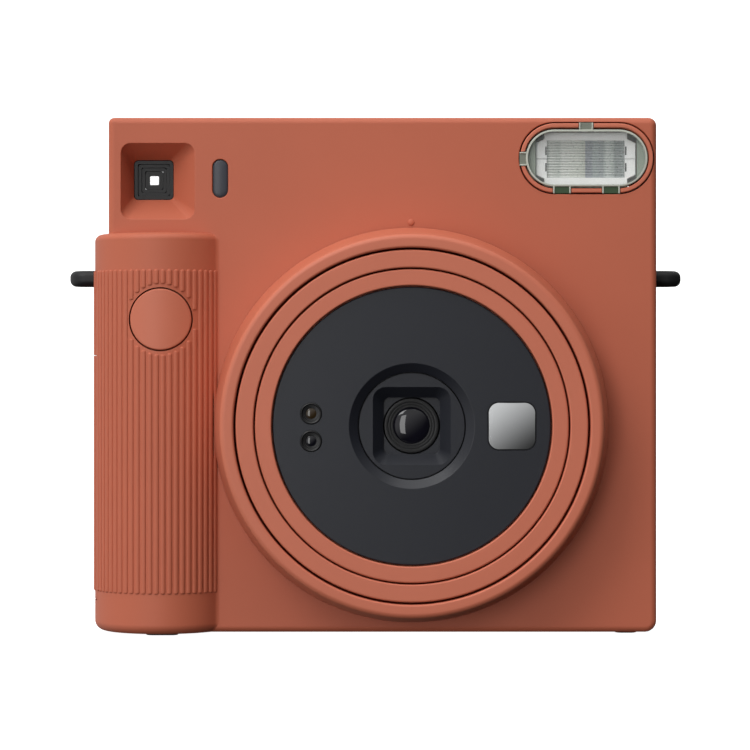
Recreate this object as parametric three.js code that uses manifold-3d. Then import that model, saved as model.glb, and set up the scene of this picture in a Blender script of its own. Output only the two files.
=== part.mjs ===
// An instant film camera with a turning lens ring, a collapsing lens, a ribbed grip,
// a hinged film door and a motor-driven pair of ejection rollers.
// Millimetres, +Z up, the lens looks along -Y. The feet stand on z = 0.
import * as THREE from 'three';
import { mergeVertices } from 'three/addons/utils/BufferGeometryUtils.js';
import Module from 'manifold-3d';

const wasm = await Module();
wasm.setup();

// ---------------------------------------------------------------- driving dimensions

const gap = 0.3;                  // clearance between pieces that touch or slide
const wall = 2.0;                 // thickness of the moulded covers
const footHeight = 0.5;

const bodyLeft = -61.5;
const bodyRight = 64.75;
const bodyTop = 119.0;
const bodyDepth = 41.0;           // front face (y = 0) to back face
const bodyCorner = 2.0;
const frontBevel = 1.5;
const rearBevel = 1.8;

const gripRadius = 16.0;          // plan curve of the grip
const gripSwell = 6.5;            // how far the grip stands out of the front face
const gripSide = 3.9;             // how far it stands out of the left side
const gripTop = 92.3;
const gripRearRadius = 8.0;

const lensX = 8.2;                // optical axis
const lensZ = 48.2;
const ringFaceWidth = 2.4;
const ringTaper = 2.8;            // how much wider the ring is at its base than at its face
const ringHeight = 14.0;
const ringBore = 40.2;
const middleWall = 4.0;
const innerWall = 3.7;
const barrelGap = 0.5;
const barrelRear = 8.0;
const faceplateDepth = 1.4;       // faceplate behind the ring's face
const faceplateThickness = 2.0;
const coneRadius = 14.15;
const hoodRadius = 11.9;
const hoodSquare = 17.6;
const hoodSquareInner = 12.8;
const lensRadius = 6.2;
const mirrorSize = 10.5;
const mirrorMargin = 3.55;        // from the mirror to the faceplate's edge
const sensorRadius = 2.5;

const buttonX = -49.0;
const buttonZ = 72.4;
const buttonRadius = 7.0;

const finderX = -51.5;
const finderBelowTop = 14.0;
const finderRecess = { x: -50.1, belowTop: 15.0, width: 16.8, height: 17.9 };
const finderWindow = 9.3;
const finderRecessDepth = 6.0;
const finderTubeSize = 12.6;
const eyepieceDepth = 2.5;        // how far the eyepiece stands out of the back

const sensorWindow = { x: -35.7, belowTop: 14.1, width: 3.45, height: 8.7 };

const flashX = 48.6;
const flashBelowTop = 9.4;
const flashWidth = 30.6;
const flashHeight = 16.0;
const flashWindowWidth = 28.0;
const flashWindowHeight = 13.1;

const packWidth = 79.0;
const packHeight = 95.5;
const packThickness = 19.5;
const packSlack = 1.2;            // between the pack and the closed film door
const chamberWall = 1.7;
const chamberBottom = 3.3;

const rollerNip = 0.4;            // between the two rollers
const rollerClearance = 1.8;       // between the film chamber and the rollers
const gearModule = 0.6;
const rollerTeeth = 14;
const idlerTeeth = 24;
const pinionTeeth = 10;
const gearWidth = 3.0;

const batteryRadius = 7.8;
const batteryLength = 27.0;
const batteryBottom = 9.0;
const holderFrontY = 3.4;
const holderInset = 2.05;         // from the cover's inner side to the battery holder
const holderWall = 1.2;

const doorBottom = 5.0;
const doorTop = 106.0;
const doorThickness = 2.6;

const footPlug = 1.5;
const feet = [
  { name: 'foot_left', x: -49.0, frontY: -2.0, width: 7.4, depth: 26.5 },
  { name: 'foot_right', x: 58.0, frontY: 4.0, width: 5.0, depth: 20.5 },
];

const lugZ = 82.2;
const lugY = 12.0;
const lugReach = 6.8;             // out of the right side; the left lug reaches as far from x = 0
const lugThickness = 3.7;

// ---------------------------------------------------------------- worked-out places

const gripLeft = bodyLeft - gripSide;
const gripCentreX = gripLeft + gripRadius;
const gripCentreY = gripRadius - gripSwell;
const finderZ = bodyTop - finderBelowTop;
const flashZ = bodyTop - flashBelowTop;
const ringFaceRadius = ringBore + ringFaceWidth;
const ringRadius = ringFaceRadius + ringTaper;
const middleRadius = ringBore - barrelGap;
const middleBore = middleRadius - middleWall;
const innerRadius = middleBore - barrelGap + 0.15;
const innerBore = innerRadius - innerWall;
const faceplateY = -ringHeight + faceplateDepth;
const faceplateBackY = faceplateY + faceplateThickness;
const hoodFrontY = faceplateY + coneRadius - hoodRadius + 0.45;
const packX = lensX;
const packRearY = bodyDepth - doorThickness - packSlack;
const packFrontY = packRearY - packThickness;
const chamberLeft = packX - packWidth / 2 - gap - chamberWall;
const chamberRight = packX + packWidth / 2 + gap + chamberWall;
const packBottom = chamberBottom + chamberWall + gap;
const packTop = packBottom + packHeight;
const chamberTop = packTop + gap + chamberWall;
const chamberFrontY = packFrontY - gap - 2.2;
const rollerLength = packWidth - 1.0;
const rollerPitchRadius = gearModule * rollerTeeth / 2;
const rollerRadius = rollerPitchRadius - rollerNip / 2;
const rollerZ = chamberTop + rollerClearance + rollerRadius;
const frontRollerY = packFrontY - 2.4;
const rearRollerY = frontRollerY + 2 * rollerPitchRadius;
const splitY = rearRollerY + 2.3; // where the two covers meet
const idlerZ = rollerZ - gearModule * (rollerTeeth + idlerTeeth) / 2;
const pinionZ = idlerZ - gearModule * (idlerTeeth + pinionTeeth) / 2;
const gearRightX = chamberLeft - 2.2;
const gearLeftX = gearRightX - gearWidth;
const batteryX = gripLeft + wall + holderInset + 0.4 + batteryRadius;
const batteryY = holderFrontY + holderWall + 0.6 + batteryRadius;
const holderRight = batteryX + batteryRadius + gap + holderWall;
const screwX = holderRight + 3.7;
const screwHead = 2.1;
const doorLeft = screwX + screwHead + 1.4;
const doorFaceY = bodyDepth - doorThickness;
const doorHingeX = bodyRight - wall - 1.45;
const doorHingeY = bodyDepth - 1.1;
const doorKnuckle = 1.4;
const pinRadius = 0.5;
const pinBore = pinRadius + gap;

// reach of the tools that trim a piece right across
const past = 20;
const wideX = [gripLeft - past, bodyRight + past];
const tallZ = [-past, bodyTop + past];

// ---------------------------------------------------------------- solid helpers

// a three.js shape class leaves doubled vertices along its seams; a cut or joined piece has none
function toSolid(geometry) {
  const bare = geometry.clone();
  bare.deleteAttribute('normal');
  const merged = bare.hasAttribute('uv')
    ? mergeVertices(bare.deleteAttribute('uv'), 1e-4) : bare;
  return new wasm.Manifold(new wasm.Mesh({
    numProp: 3,
    vertProperties: merged.getAttribute('position').array,
    triVerts: Uint32Array.from(merged.index.array),
  }));
}

function toGeometry(solid) {
  const mesh = solid.getMesh();
  const geometry = new THREE.BufferGeometry();
  geometry.setAttribute('position', new THREE.BufferAttribute(mesh.vertProperties, 3));
  geometry.setIndex(new THREE.BufferAttribute(mesh.triVerts, 1));
  geometry.computeVertexNormals();
  return geometry;
}

const join = (first, ...others) =>
  toGeometry(others.reduce((sum, other) => sum.add(toSolid(other)), toSolid(first)));
const cut = (base, ...tools) =>
  toGeometry(tools.reduce((rest, tool) => rest.subtract(toSolid(tool)), toSolid(base)));
const common = (first, second) => toGeometry(toSolid(first).intersect(toSolid(second)));

// a box from its lowest and highest x, y and z
function block([x0, x1], [y0, y1], [z0, z1]) {
  const box = new THREE.BoxGeometry(x1 - x0, y1 - y0, z1 - z0);
  return box.translate((x0 + x1) / 2, (y0 + y1) / 2, (z0 + z1) / 2);
}

// a box centred in x and z, running from y0 to y1
const centredBlock = (x, z, width, height, y0, y1) =>
  block([x - width / 2, x + width / 2], [y0, y1], [z - height / 2, z + height / 2]);

// round bars along each axis; the centre is given in the two other coordinates
function rodX(radius, x0, x1, [y, z], sides = 20) {
  const rod = new THREE.CylinderGeometry(radius, radius, x1 - x0, sides);
  return rod.rotateZ(-Math.PI / 2).translate((x0 + x1) / 2, y, z);
}

function rodY(radius, y0, y1, [x, z], sides = 20) {
  const rod = new THREE.CylinderGeometry(radius, radius, y1 - y0, sides);
  return rod.translate(x, (y0 + y1) / 2, z);
}

function rodZ(radius, z0, z1, [x, y], sides = 20) {
  const rod = new THREE.CylinderGeometry(radius, radius, z1 - z0, sides);
  return rod.rotateX(Math.PI / 2).translate(x, y, (z0 + z1) / 2);
}

// a ring or disc about a line along Y; the outline is [radius, y] points, closed by itself
function turned(outline, [x, z], sides = 48) {
  let area = 0;
  outline.forEach(([r, y], i) => {
    const [r2, y2] = outline[(i + 1) % outline.length];
    area += r * y2 - r2 * y;
  });
  const ordered = area > 0 ? outline : [...outline].reverse();
  const points = [...ordered, ordered[0]].map(([r, y]) => new THREE.Vector2(r, y));
  return new THREE.LatheGeometry(points, sides).translate(x, 0, z);
}

function roundedRect(width, height, radius, [x, z]) {
  const [w, h] = [width / 2 - radius, height / 2 - radius];
  const shape = new THREE.Shape();
  shape.absarc(x + w, z + h, radius, 0, Math.PI / 2);
  shape.absarc(x - w, z + h, radius, Math.PI / 2, Math.PI);
  shape.absarc(x - w, z - h, radius, Math.PI, 1.5 * Math.PI);
  shape.absarc(x + w, z - h, radius, 1.5 * Math.PI, 2 * Math.PI);
  shape.closePath();
  return shape;
}

// a front-view outline (x, z) given depth from y0 to y1, with both ends bevelled
function slabY(shape, y0, y1, { bevel = 0, sides = 4 } = {}) {
  const slab = new THREE.ExtrudeGeometry(shape, {
    depth: y1 - y0 - 2 * bevel,
    curveSegments: sides,
    bevelEnabled: bevel > 0,
    bevelThickness: bevel,
    bevelSize: bevel,
    bevelOffset: -bevel,
    bevelSegments: 2,
  });
  return slab.rotateX(Math.PI / 2).translate(0, y1 - bevel, 0);
}

// a plan outline (x, y) given height from z0 to z1, with both ends bevelled
function slabZ(shape, z0, z1, { bevel = 0, sides = 12 } = {}) {
  const slab = new THREE.ExtrudeGeometry(shape, {
    depth: z1 - z0 - 2 * bevel,
    curveSegments: sides,
    bevelEnabled: bevel > 0,
    bevelThickness: bevel,
    bevelSize: bevel,
    bevelOffset: -bevel,
    bevelSegments: 2,
  });
  return slab.translate(0, 0, z0 + bevel);
}

// a square funnel along Y, from one side length to another
function funnel([x0, z0, side0, y0], [x1, z1, side1, y1]) {
  const corner = Math.SQRT1_2;
  const taper = new THREE.CylinderGeometry(side1 * corner, side0 * corner, y1 - y0, 4);
  taper.rotateY(Math.PI / 4).translate(0, (y0 + y1) / 2, 0);
  const slope = (value, y) => value * (y - y0) / (y1 - y0);
  const position = taper.getAttribute('position');
  for (let i = 0; i < position.count; i += 1) {
    const y = position.getY(i);
    position.setX(i, position.getX(i) + x0 + slope(x1 - x0, y));
    position.setZ(i, position.getZ(i) + z0 + slope(z1 - z0, y));
  }
  return taper;
}

// a spur gear along X whose tooth or gap, as asked, points in the direction of angle
function gearX(teeth, x0, x1, [y, z], angle, toothThere) {
  const pitchRadius = gearModule * teeth / 2;
  const pitchAngle = 2 * Math.PI / teeth;
  const phase = angle + (toothThere ? 0 : pitchAngle / 2);
  const tip = pitchRadius + 0.7 * gearModule;
  const root = pitchRadius - 1.1 * gearModule;
  const corners = [[-0.32, root], [-0.11, tip], [0.11, tip], [0.32, root]];
  const shape = new THREE.Shape();
  for (let tooth = 0; tooth < teeth; tooth += 1) {
    corners.forEach(([share, radius]) => {
      const turn = phase + (tooth + share) * pitchAngle;
      const point = [radius * Math.cos(turn), radius * Math.sin(turn)];
      if (shape.curves.length === 0 && shape.currentPoint.lengthSq() === 0) {
        shape.moveTo(...point);
      } else {
        shape.lineTo(...point);
      }
    });
  }
  shape.closePath();
  const gear = new THREE.ExtrudeGeometry(shape, { depth: x1 - x0, bevelEnabled: false });
  // the outline's x and y become the frame's y and z
  const turnToX = new THREE.Matrix4().makeBasis(
    new THREE.Vector3(0, 1, 0), new THREE.Vector3(0, 0, 1), new THREE.Vector3(1, 0, 0));
  return gear.applyMatrix4(turnToX).translate(x0, y, z);
}

// ---------------------------------------------------------------- finishes

const finish = (color, roughness, metalness = 0) =>
  new THREE.MeshStandardMaterial({ color, roughness, metalness });
const terracotta = finish(0xb7694f, 0.6);
const terracottaSatin = finish(0xba6c55, 0.45);
const charcoal = finish(0x34353b, 0.5);
const blackPlastic = finish(0x141517, 0.6);
const clearPlastic = finish(0xe8ecec, 0.1);
const silver = finish(0xd4d5d0, 0.25, 0.9);
const steel = finish(0x9a9c9e, 0.35, 0.9);
const glass = finish(0x223038, 0.05);
const rubber = finish(0x2c2e30, 0.8);
const greyPlastic = finish(0x6a6d70, 0.6);
const boardGreen = finish(0x1f5b3a, 0.6);
const cellWrap = finish(0x33507a, 0.4);

const camera = new THREE.Group();
// the depth is centred on y = 0: the ring stands in front and the eyepiece behind
camera.position.y = (ringHeight - bodyDepth - eyepieceDepth) / 2;

function part(name, geometry, material) {
  const mesh = new THREE.Mesh(geometry, material.clone());
  mesh.name = name;
  camera.add(mesh);
}

// ---------------------------------------------------------------- covers

const bodyShape = (inset) => roundedRect(
  bodyRight - bodyLeft - 2 * inset, bodyTop - footHeight - 2 * inset,
  Math.max(bodyCorner - inset, 0.4),
  [(bodyLeft + bodyRight) / 2, (bodyTop + footHeight) / 2]);

const sensorShape = (grow) => roundedRect(
  sensorWindow.width + 2 * grow, sensorWindow.height + 2 * grow, sensorWindow.width / 2 - 0.02,
  [sensorWindow.x, bodyTop - sensorWindow.belowTop]);

// plan of the grip: flat side, round front, ending where the arc meets the front face
function gripPlan(inset, rearY) {
  const radius = gripRadius - inset;
  const stop = Math.acos((gripCentreY - inset) / radius);
  const shape = new THREE.Shape();
  shape.moveTo(gripCentreX, rearY);
  shape.lineTo(gripCentreX - radius, rearY);
  shape.absarc(gripCentreX, gripCentreY, radius, Math.PI, 1.5 * Math.PI + stop);
  shape.lineTo(gripCentreX + radius * Math.sin(stop), inset + wall / 2);
  shape.lineTo(gripCentreX, inset + wall / 2);
  shape.closePath();
  return shape;
}

const gripOuter = slabZ(gripPlan(0, splitY), footHeight, gripTop);
const gripInner = slabZ(gripPlan(wall, splitY + 1), footHeight + wall, gripTop - wall);

const batteryTop = batteryBottom + 2 * batteryLength + gap;
const screwPlaces = [[screwX, 8.0], [screwX, batteryTop + 1.0]];
const screwShank = 1.0;
const bossRadius = 2.6;

const rollerSlot = {
  x: [packX - rollerLength / 2 + 1.0, packX + rollerLength / 2 - 1.0],
  y: [(frontRollerY + rearRollerY) / 2 - 2.5, (frontRollerY + rearRollerY) / 2 + 2.5],
};
const flapAxis = [rollerSlot.y[0] + 0.7, bodyTop - 0.9];
const flapPin = 0.4;

const batteryDoor = {
  y: [4.05, 24.7],
  z: [7.5, 64.5],
  hingeX: gripLeft + 1.0,
  hingeY: 23.1,
  knuckle: 1.25,
};

const pushBoss = { radius: buttonRadius + gap + 1.9, rearY: -0.5 };

function frontCover() {
  const outline = slabY(bodyShape(0), 0, splitY + past / 2, { bevel: frontBevel });
  const trimmed = cut(outline, block(wideX, [splitY, splitY + past], tallZ));
  const shell = join(trimmed, gripOuter);
  const hollow = slabY(bodyShape(wall), wall, splitY + 1);
  const hollowed = cut(shell, hollow, gripInner);
  const finderBlock = centredBlock(
    finderRecess.x, bodyTop - finderRecess.belowTop,
    finderRecess.width + 2.4, finderRecess.height + 2.2,
    wall / 2, finderRecessDepth + 2);
  const bosses = screwPlaces.map((place) =>
    rodY(bossRadius, wall / 2, splitY + 4, place, 16));
  const dot = rodY(0.8, -gap, wall / 2, [lensX, lensZ + ringRadius + 1.2], 16);
  const tube = common(
    rodY(pushBoss.radius, -gripSwell, pushBoss.rearY, [buttonX, buttonZ], 32), gripOuter);
  return cut(
    join(hollowed, finderBlock, ...bosses, dot, tube),
    ...screwPlaces.map((place) => rodY(screwShank + gap, 18, bodyDepth, place, 12)),
    rodY(ringBore + 1.8, -1, wall + 1, [lensX, lensZ], 64),
    rodY(ringRadius + 2 * gap, -gripSwell - 1, 0, [lensX, lensZ], 64),
    funnel([finderRecess.x, bodyTop - finderRecess.belowTop, finderRecess.height, -0.2],
      [finderX, finderZ, finderWindow, finderRecessDepth]),
    centredBlock(finderX, finderZ, finderWindow, finderWindow, finderRecessDepth - 1, 10),
    slabY(roundedRect(flashWidth + 2 * gap, flashHeight + 2 * gap, flashHeight / 2 + gap - 0.01,
      [flashX, flashZ]), -1, wall + 0.4, { sides: 10 }),
    slabY(sensorShape(gap), -1, wall + 1),
    rodY(buttonRadius + gap, -12, 5, [buttonX, buttonZ], 32),
    block([gripLeft - 2, gripLeft + 3.8], batteryDoor.y, batteryDoor.z),
    rodZ(pinRadius + gap, batteryDoor.z[0] - 2.3, batteryDoor.z[1] + 2.3,
      [batteryDoor.hingeX, batteryDoor.hingeY], 12),
    block(rollerSlot.x, rollerSlot.y, [bodyTop - wall - 1, bodyTop + 1]),
    rodX(flapPin + gap, rollerSlot.x[0] - 1.8, rollerSlot.x[1] + 1.8, flapAxis, 12),
    ...[gripLeft, bodyRight].map((x) => block(
      [x - 4, x + 4], [lugY - 4 - gap, lugY + 4 + gap],
      [lugZ - lugThickness / 2 - gap, lugZ + lugThickness / 2 + gap])),
    ...feet.map(({ x, frontY }) => rodZ(footPlug + gap, -1, 4, [x, frontY + 3], 16)));
}

// plan of the grip's rear end: the flat side turns into the back
function gripRearPlan(inset, frontY) {
  const radius = gripRearRadius - inset;
  const [x, y] = [gripLeft + gripRearRadius, bodyDepth - gripRearRadius];
  const shape = new THREE.Shape();
  shape.moveTo(x + 1, frontY);
  shape.lineTo(x + 1, y + radius);
  shape.absarc(x, y, radius, Math.PI / 2, Math.PI);
  shape.lineTo(x - radius, frontY);
  shape.closePath();
  return shape;
}

const counter = { x: -47.0, z: 40.0, radius: 6.5, window: 4.4 };

function rearCover() {
  const frontY = splitY + gap;
  const outline = slabY(bodyShape(0), splitY - past / 2, bodyDepth, { bevel: rearBevel });
  const trimmed = cut(outline, block(wideX, [splitY - past, frontY], tallZ));
  const side = slabZ(gripRearPlan(0, frontY), footHeight, gripTop, { sides: 6 });
  const sideHollow = slabZ(gripRearPlan(wall, frontY - 1), footHeight + wall, gripTop - wall,
    { sides: 6 });
  const hollow = slabY(bodyShape(wall), splitY - past, bodyDepth - wall);
  const hole = block([doorLeft, doorHingeX + doorKnuckle + gap], [bodyDepth - wall - 1, 50],
    [doorBottom, doorTop]);
  return cut(
    join(trimmed, side), hollow, sideHollow, hole,
    rodZ(pinBore, 2.8, 110, [doorHingeX, doorHingeY], 12),
    centredBlock(finderX, finderZ, finderTubeSize + 2 * gap, finderTubeSize + 2 * gap, 38, 50),
    centredBlock(counter.x, counter.z + counter.window, 5.6, 5.6, 38, 50),
    ...screwPlaces.map((place) => rodY(screwHead + gap, bodyDepth - 1.1, 50, place, 16)),
    ...screwPlaces.map((place) => rodY(screwShank + gap, 30, 50, place, 12)));
}

part('front_cover', frontCover(), terracotta);
part('rear_cover', rearCover(), terracotta);

screwPlaces.forEach((place, i) => {
  const head = rodY(screwHead, bodyDepth - 0.8, bodyDepth - 0.05, place, 16);
  const shank = rodY(screwShank, 20, bodyDepth - 0.4, place, 12);
  part(`casing_screw_${i + 1}`, join(head, shank), steel);
});

// ---------------------------------------------------------------- feet and strap lugs

// each foot is a flat pad with a plug that goes up through the cover's floor
feet.forEach(({ name, x, frontY, width, depth }) => {
  const pad = block([x - width / 2, x + width / 2], [frontY, frontY + depth],
    [0, footHeight - 0.02]);
  const plug = rodZ(footPlug, 0.1, wall + 1.2, [x, frontY + 3], 16);
  part(name, join(pad, plug), rubber);
});

// a plate lying flat, with a round end and a strap hole, held by a wider root inside the wall
function strapLug(sideX, outward, reach) {
  const [tip, root] = [sideX + outward * reach, sideX - outward * (wall + gap)];
  const end = 3.4;
  const plate = block([Math.min(tip - outward * end, root), Math.max(tip - outward * end, root)],
    [lugY - 4, lugY + 4], [lugZ - lugThickness / 2, lugZ + lugThickness / 2]);
  const nose = slabZ(roundedRect(2 * end, 8, end - 0.01, [tip - outward * end, lugY]),
    lugZ - lugThickness / 2, lugZ + lugThickness / 2, { sides: 6 });
  const flange = block([Math.min(root, root - outward * 1.4), Math.max(root, root - outward * 1.4)],
    [lugY - 5, lugY + 5], [lugZ - 2.6, lugZ + 2.6]);
  const hole = rodZ(1.9, lugZ - 5, lugZ + 5, [tip - outward * 3.6, lugY], 16);
  return cut(join(plate, nose, flange), hole);
}
part('strap_lug_left', strapLug(gripLeft, -1, bodyRight + lugReach + gripLeft), blackPlastic);
part('strap_lug_right', strapLug(bodyRight, 1, lugReach), blackPlastic);

// ---------------------------------------------------------------- lens ring and barrels

const lensAxis = [lensX, lensZ];

part('lens_ring', turned([
  [ringBore, -ringHeight], [ringFaceRadius, -ringHeight], [ringFaceRadius + 1.1, -ringHeight + 0.9],
  [ringRadius, -gap], [ringBore + 1.5, -gap], [ringBore + 1.5, wall + gap],
  [ringBore + 3.3, wall + gap], [ringBore + 3.3, wall + gap + 1.6], [ringBore, wall + gap + 1.6],
], lensAxis, 64), terracottaSatin);

const guideFront = wall + gap + 1.6 + 0.7;
part('barrel_guide', turned([
  [ringBore - 0.1, guideFront], [ringBore + 2, guideFront], [ringBore + 2, 10.5],
  [ringBore + 3.1, 10.5], [ringBore + 3.1, 12.0], [ringBore - 0.1, 12.0],
], lensAxis), greyPlastic);

part('middle_barrel', turned([
  [middleBore, -ringHeight + 0.3], [middleRadius - 0.5, -ringHeight + 0.3],
  [middleRadius, -ringHeight + 0.8], [middleRadius, barrelRear], [middleBore, barrelRear],
], lensAxis, 56), terracottaSatin);

const bulkheadY = faceplateBackY + gap;
const plateRadius = innerBore - gap;
const mirrorOffset = plateRadius - mirrorMargin - mirrorSize / 2;
part('inner_barrel', turned([
  [innerBore, -ringHeight + 0.6], [innerRadius - 0.5, -ringHeight + 0.6],
  [innerRadius, -ringHeight + 1.1], [innerRadius, barrelRear], [innerBore, barrelRear],
  [innerBore, bulkheadY + 1.5], [16.0, bulkheadY + 1.5], [16.0, bulkheadY], [innerBore, bulkheadY],
], lensAxis, 56), terracottaSatin);

const sensorX = lensX - plateRadius + 8.65;
const sensorPlaces = [[sensorX, lensZ + 2.8], [sensorX, lensZ - 3.4]];

function faceplate() {
  const disc = turned([
    [coneRadius, faceplateY], [plateRadius, faceplateY], [plateRadius, faceplateBackY],
    [15.6, faceplateBackY], [15.6, faceplateBackY + 1.4], [hoodRadius + gap, faceplateBackY + 1.4],
    [hoodRadius + gap, hoodFrontY],
  ], lensAxis);
  return cut(
    disc,
    slabY(roundedRect(mirrorSize + 2 * gap, mirrorSize + 2 * gap, 2.6,
      [lensX + mirrorOffset, lensZ]), faceplateY - 1, faceplateY + 0.9),
    ...sensorPlaces.map((place) => rodY(sensorRadius, faceplateY - 1, faceplateY + 1.2, place)));
}
part('lens_faceplate', faceplate(), charcoal);

part('selfie_mirror', slabY(roundedRect(mirrorSize, mirrorSize, 2.4, [lensX + mirrorOffset, lensZ]),
  faceplateY, faceplateY + 0.6), silver);
['upper', 'lower'].forEach((level, i) => {
  part(`light_sensor_${level}`,
    rodY(sensorRadius - gap, faceplateY + 0.3, faceplateY + 0.9, sensorPlaces[i], 16), glass);
});

const hoodBackY = hoodFrontY + 4.9;
function lensHood() {
  const flangeY = faceplateBackY + 1.4 + gap;
  const cup = turned([
    [0, hoodFrontY], [hoodRadius, hoodFrontY], [hoodRadius, flangeY], [14.2, flangeY],
    [14.2, flangeY + 1.3], [9.5, flangeY + 1.3], [9.5, hoodBackY], [0, hoodBackY],
  ], lensAxis, 32);
  const well = funnel([lensX, lensZ, hoodSquare + 0.8, hoodFrontY - 0.2],
    [lensX, lensZ, hoodSquareInner, hoodFrontY + 2.4]);
  const roundedWell = common(well, rodY(hoodRadius - 0.35, -20, 0, lensAxis, 32));
  return cut(cup, roundedWell, rodY(lensRadius + gap, -20, 10, lensAxis, 32));
}
part('lens_hood', lensHood(), charcoal);

const frontGlassY = hoodFrontY + 2.6;
part('front_lens', turned([
  [0, frontGlassY - 0.6], [3.2, frontGlassY - 0.4], [lensRadius, frontGlassY + 0.3],
  [lensRadius, frontGlassY + 2.0], [0, frontGlassY + 2.0],
], lensAxis, 28), glass);

const shutterY = hoodBackY + gap;
const shutterRadius = 20.0;
const bladePivots = [-1, 1].map((side) => [lensX + side * 13.0, lensZ + 6.0]);
function shutterPlate() {
  const plate = turned([
    [5.0, shutterY], [shutterRadius, shutterY], [shutterRadius, shutterY + 1.0],
    [5.0, shutterY + 1.0],
  ], lensAxis, 32);
  const pivots = bladePivots.map((place) => rodY(0.8, shutterY + 0.5, shutterY + 3.0, place, 12));
  return join(plate, ...pivots);
}
part('shutter_plate', shutterPlate(), blackPlastic);

// each blade covers half of the aperture and a little more, and turns on its own pivot
function shutterBlade(side, layer) {
  const [pivotX, pivotZ] = bladePivots[side < 0 ? 0 : 1];
  const y0 = shutterY + 1.0 + gap + layer * 0.8;
  const hub = rodY(2.2, y0, y0 + 0.5, [pivotX, pivotZ], 16);
  const leaf = block([Math.min(pivotX, lensX - side * 1.2), Math.max(pivotX, lensX - side * 1.2)],
    [y0, y0 + 0.5], [lensZ - 5.6, lensZ + 5.6]);
  return cut(join(hub, leaf), rodY(0.8 + gap, y0 - 1, y0 + 1, [pivotX, pivotZ], 12));
}
part('shutter_blade_left', shutterBlade(-1, 0), steel);
part('shutter_blade_right', shutterBlade(1, 1), steel);

const cellY = shutterY + 1.0 + gap + 1.6 + gap + 0.6;
part('lens_cell', turned([
  [lensRadius + gap, cellY], [shutterRadius, cellY], [shutterRadius, cellY + 1.0],
  [8.0, cellY + 1.0], [8.0, cellY + 4.5], [lensRadius + gap, cellY + 4.5],
], lensAxis, 32), blackPlastic);
part('rear_lens', turned([
  [0, cellY + 0.8], [lensRadius, cellY + 1.2], [lensRadius, cellY + 3.6], [0, cellY + 4.2],
], lensAxis, 24), glass);

// ---------------------------------------------------------------- shutter button

function shutterButton() {
  const cap = common(
    rodY(buttonRadius, -gripSwell - 1, pushBoss.rearY + gap, [buttonX, buttonZ], 32), gripOuter);
  const flangeY = pushBoss.rearY + gap;
  return join(cap, rodY(buttonRadius + 1.4, flangeY - 0.01, flangeY + 1.2, [buttonX, buttonZ]));
}
part('shutter_button', shutterButton(), terracottaSatin);

const springFront = pushBoss.rearY + gap + 1.2 + gap;
const switchY = 5.6;
part('button_spring', turned([
  [3.0, springFront], [3.8, springFront], [3.8, switchY - gap], [3.0, switchY - gap],
], [buttonX, buttonZ], 16), steel);
part('shutter_switch', join(
  centredBlock(buttonX, buttonZ, 12, 9, switchY, switchY + 1.2),
  rodY(1.6, 3.2, switchY + 0.5, [buttonX, buttonZ], 12)), blackPlastic);

// ---------------------------------------------------------------- viewfinder and sensor window

part('sensor_window', slabY(sensorShape(0), 0, wall - 0.2), glass);

const tubeFrontY = finderRecessDepth + 2 + 0.6;
const eyepieceNeckY = bodyDepth - 2.6;
part('viewfinder_tube', cut(
  centredBlock(finderX, finderZ, finderTubeSize, finderTubeSize, tubeFrontY, eyepieceNeckY - gap),
  centredBlock(finderX, finderZ, finderTubeSize - 2.6, finderTubeSize - 2.6, 0, 50)), blackPlastic);
part('viewfinder_front_lens', centredBlock(finderX, finderZ, finderTubeSize - 3.2,
  finderTubeSize - 3.2, tubeFrontY + 0.3, tubeFrontY + 1.8), glass);
part('viewfinder_rear_lens', centredBlock(finderX, finderZ, finderTubeSize - 3.2,
  finderTubeSize - 3.2, eyepieceNeckY + 1, eyepieceNeckY + 2.6), glass);
part('eyepiece_rim', cut(
  join(
    slabY(roundedRect(17, 17, 3, [finderX, finderZ]), bodyDepth + gap, bodyDepth + eyepieceDepth),
    centredBlock(finderX, finderZ, finderTubeSize, finderTubeSize, eyepieceNeckY, bodyDepth + 1)),
  centredBlock(finderX, finderZ, finderTubeSize - 2.6, finderTubeSize - 2.6, 30, 50)), rubber);

// ---------------------------------------------------------------- flash

const flashShape = (width, height) =>
  roundedRect(width, height, height / 2 - 0.01, [flashX, flashZ]);
part('flash_trim', cut(
  slabY(flashShape(flashWidth, flashHeight), -gap, wall, { sides: 10 }),
  slabY(flashShape(flashWindowWidth + 0.6, flashWindowHeight + 0.6), -2, 4, { sides: 10 })),
terracottaSatin);
part('flash_window', slabY(flashShape(flashWindowWidth, flashWindowHeight), -gap, 1.2,
  { sides: 10 }), clearPlastic);

const flashTubeY = wall + 0.6 + 2.4;
function flashReflector() {
  const front = wall + 0.6;
  const rear = frontRollerY - rollerRadius - 0.7;
  const body = centredBlock(flashX, flashZ, 25, 12.8, front, rear);
  const trough = funnel([0, 0, 11.4, front - 0.1], [0, 0, 4.6, rear - 1.4]);
  trough.scale(23 / 11.4, 1, 1).translate(flashX, 0, flashZ);
  return cut(body, trough);
}
part('flash_reflector', flashReflector(), silver);
part('flash_tube', rodX(1.3, flashX - 6.8, flashX + 6.8, [flashTubeY, flashZ], 12), glass);
part('flash_capacitor', rodZ(5.0, 40, 72, [56.8, 10.0], 20), blackPlastic);
part('main_board', block([packX - 46, packX + 23], [8.0, 9.6],
  [lensZ + ringBore + 5.1, bodyTop - wall - 1]), boardGreen);

// ---------------------------------------------------------------- batteries and their door

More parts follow.
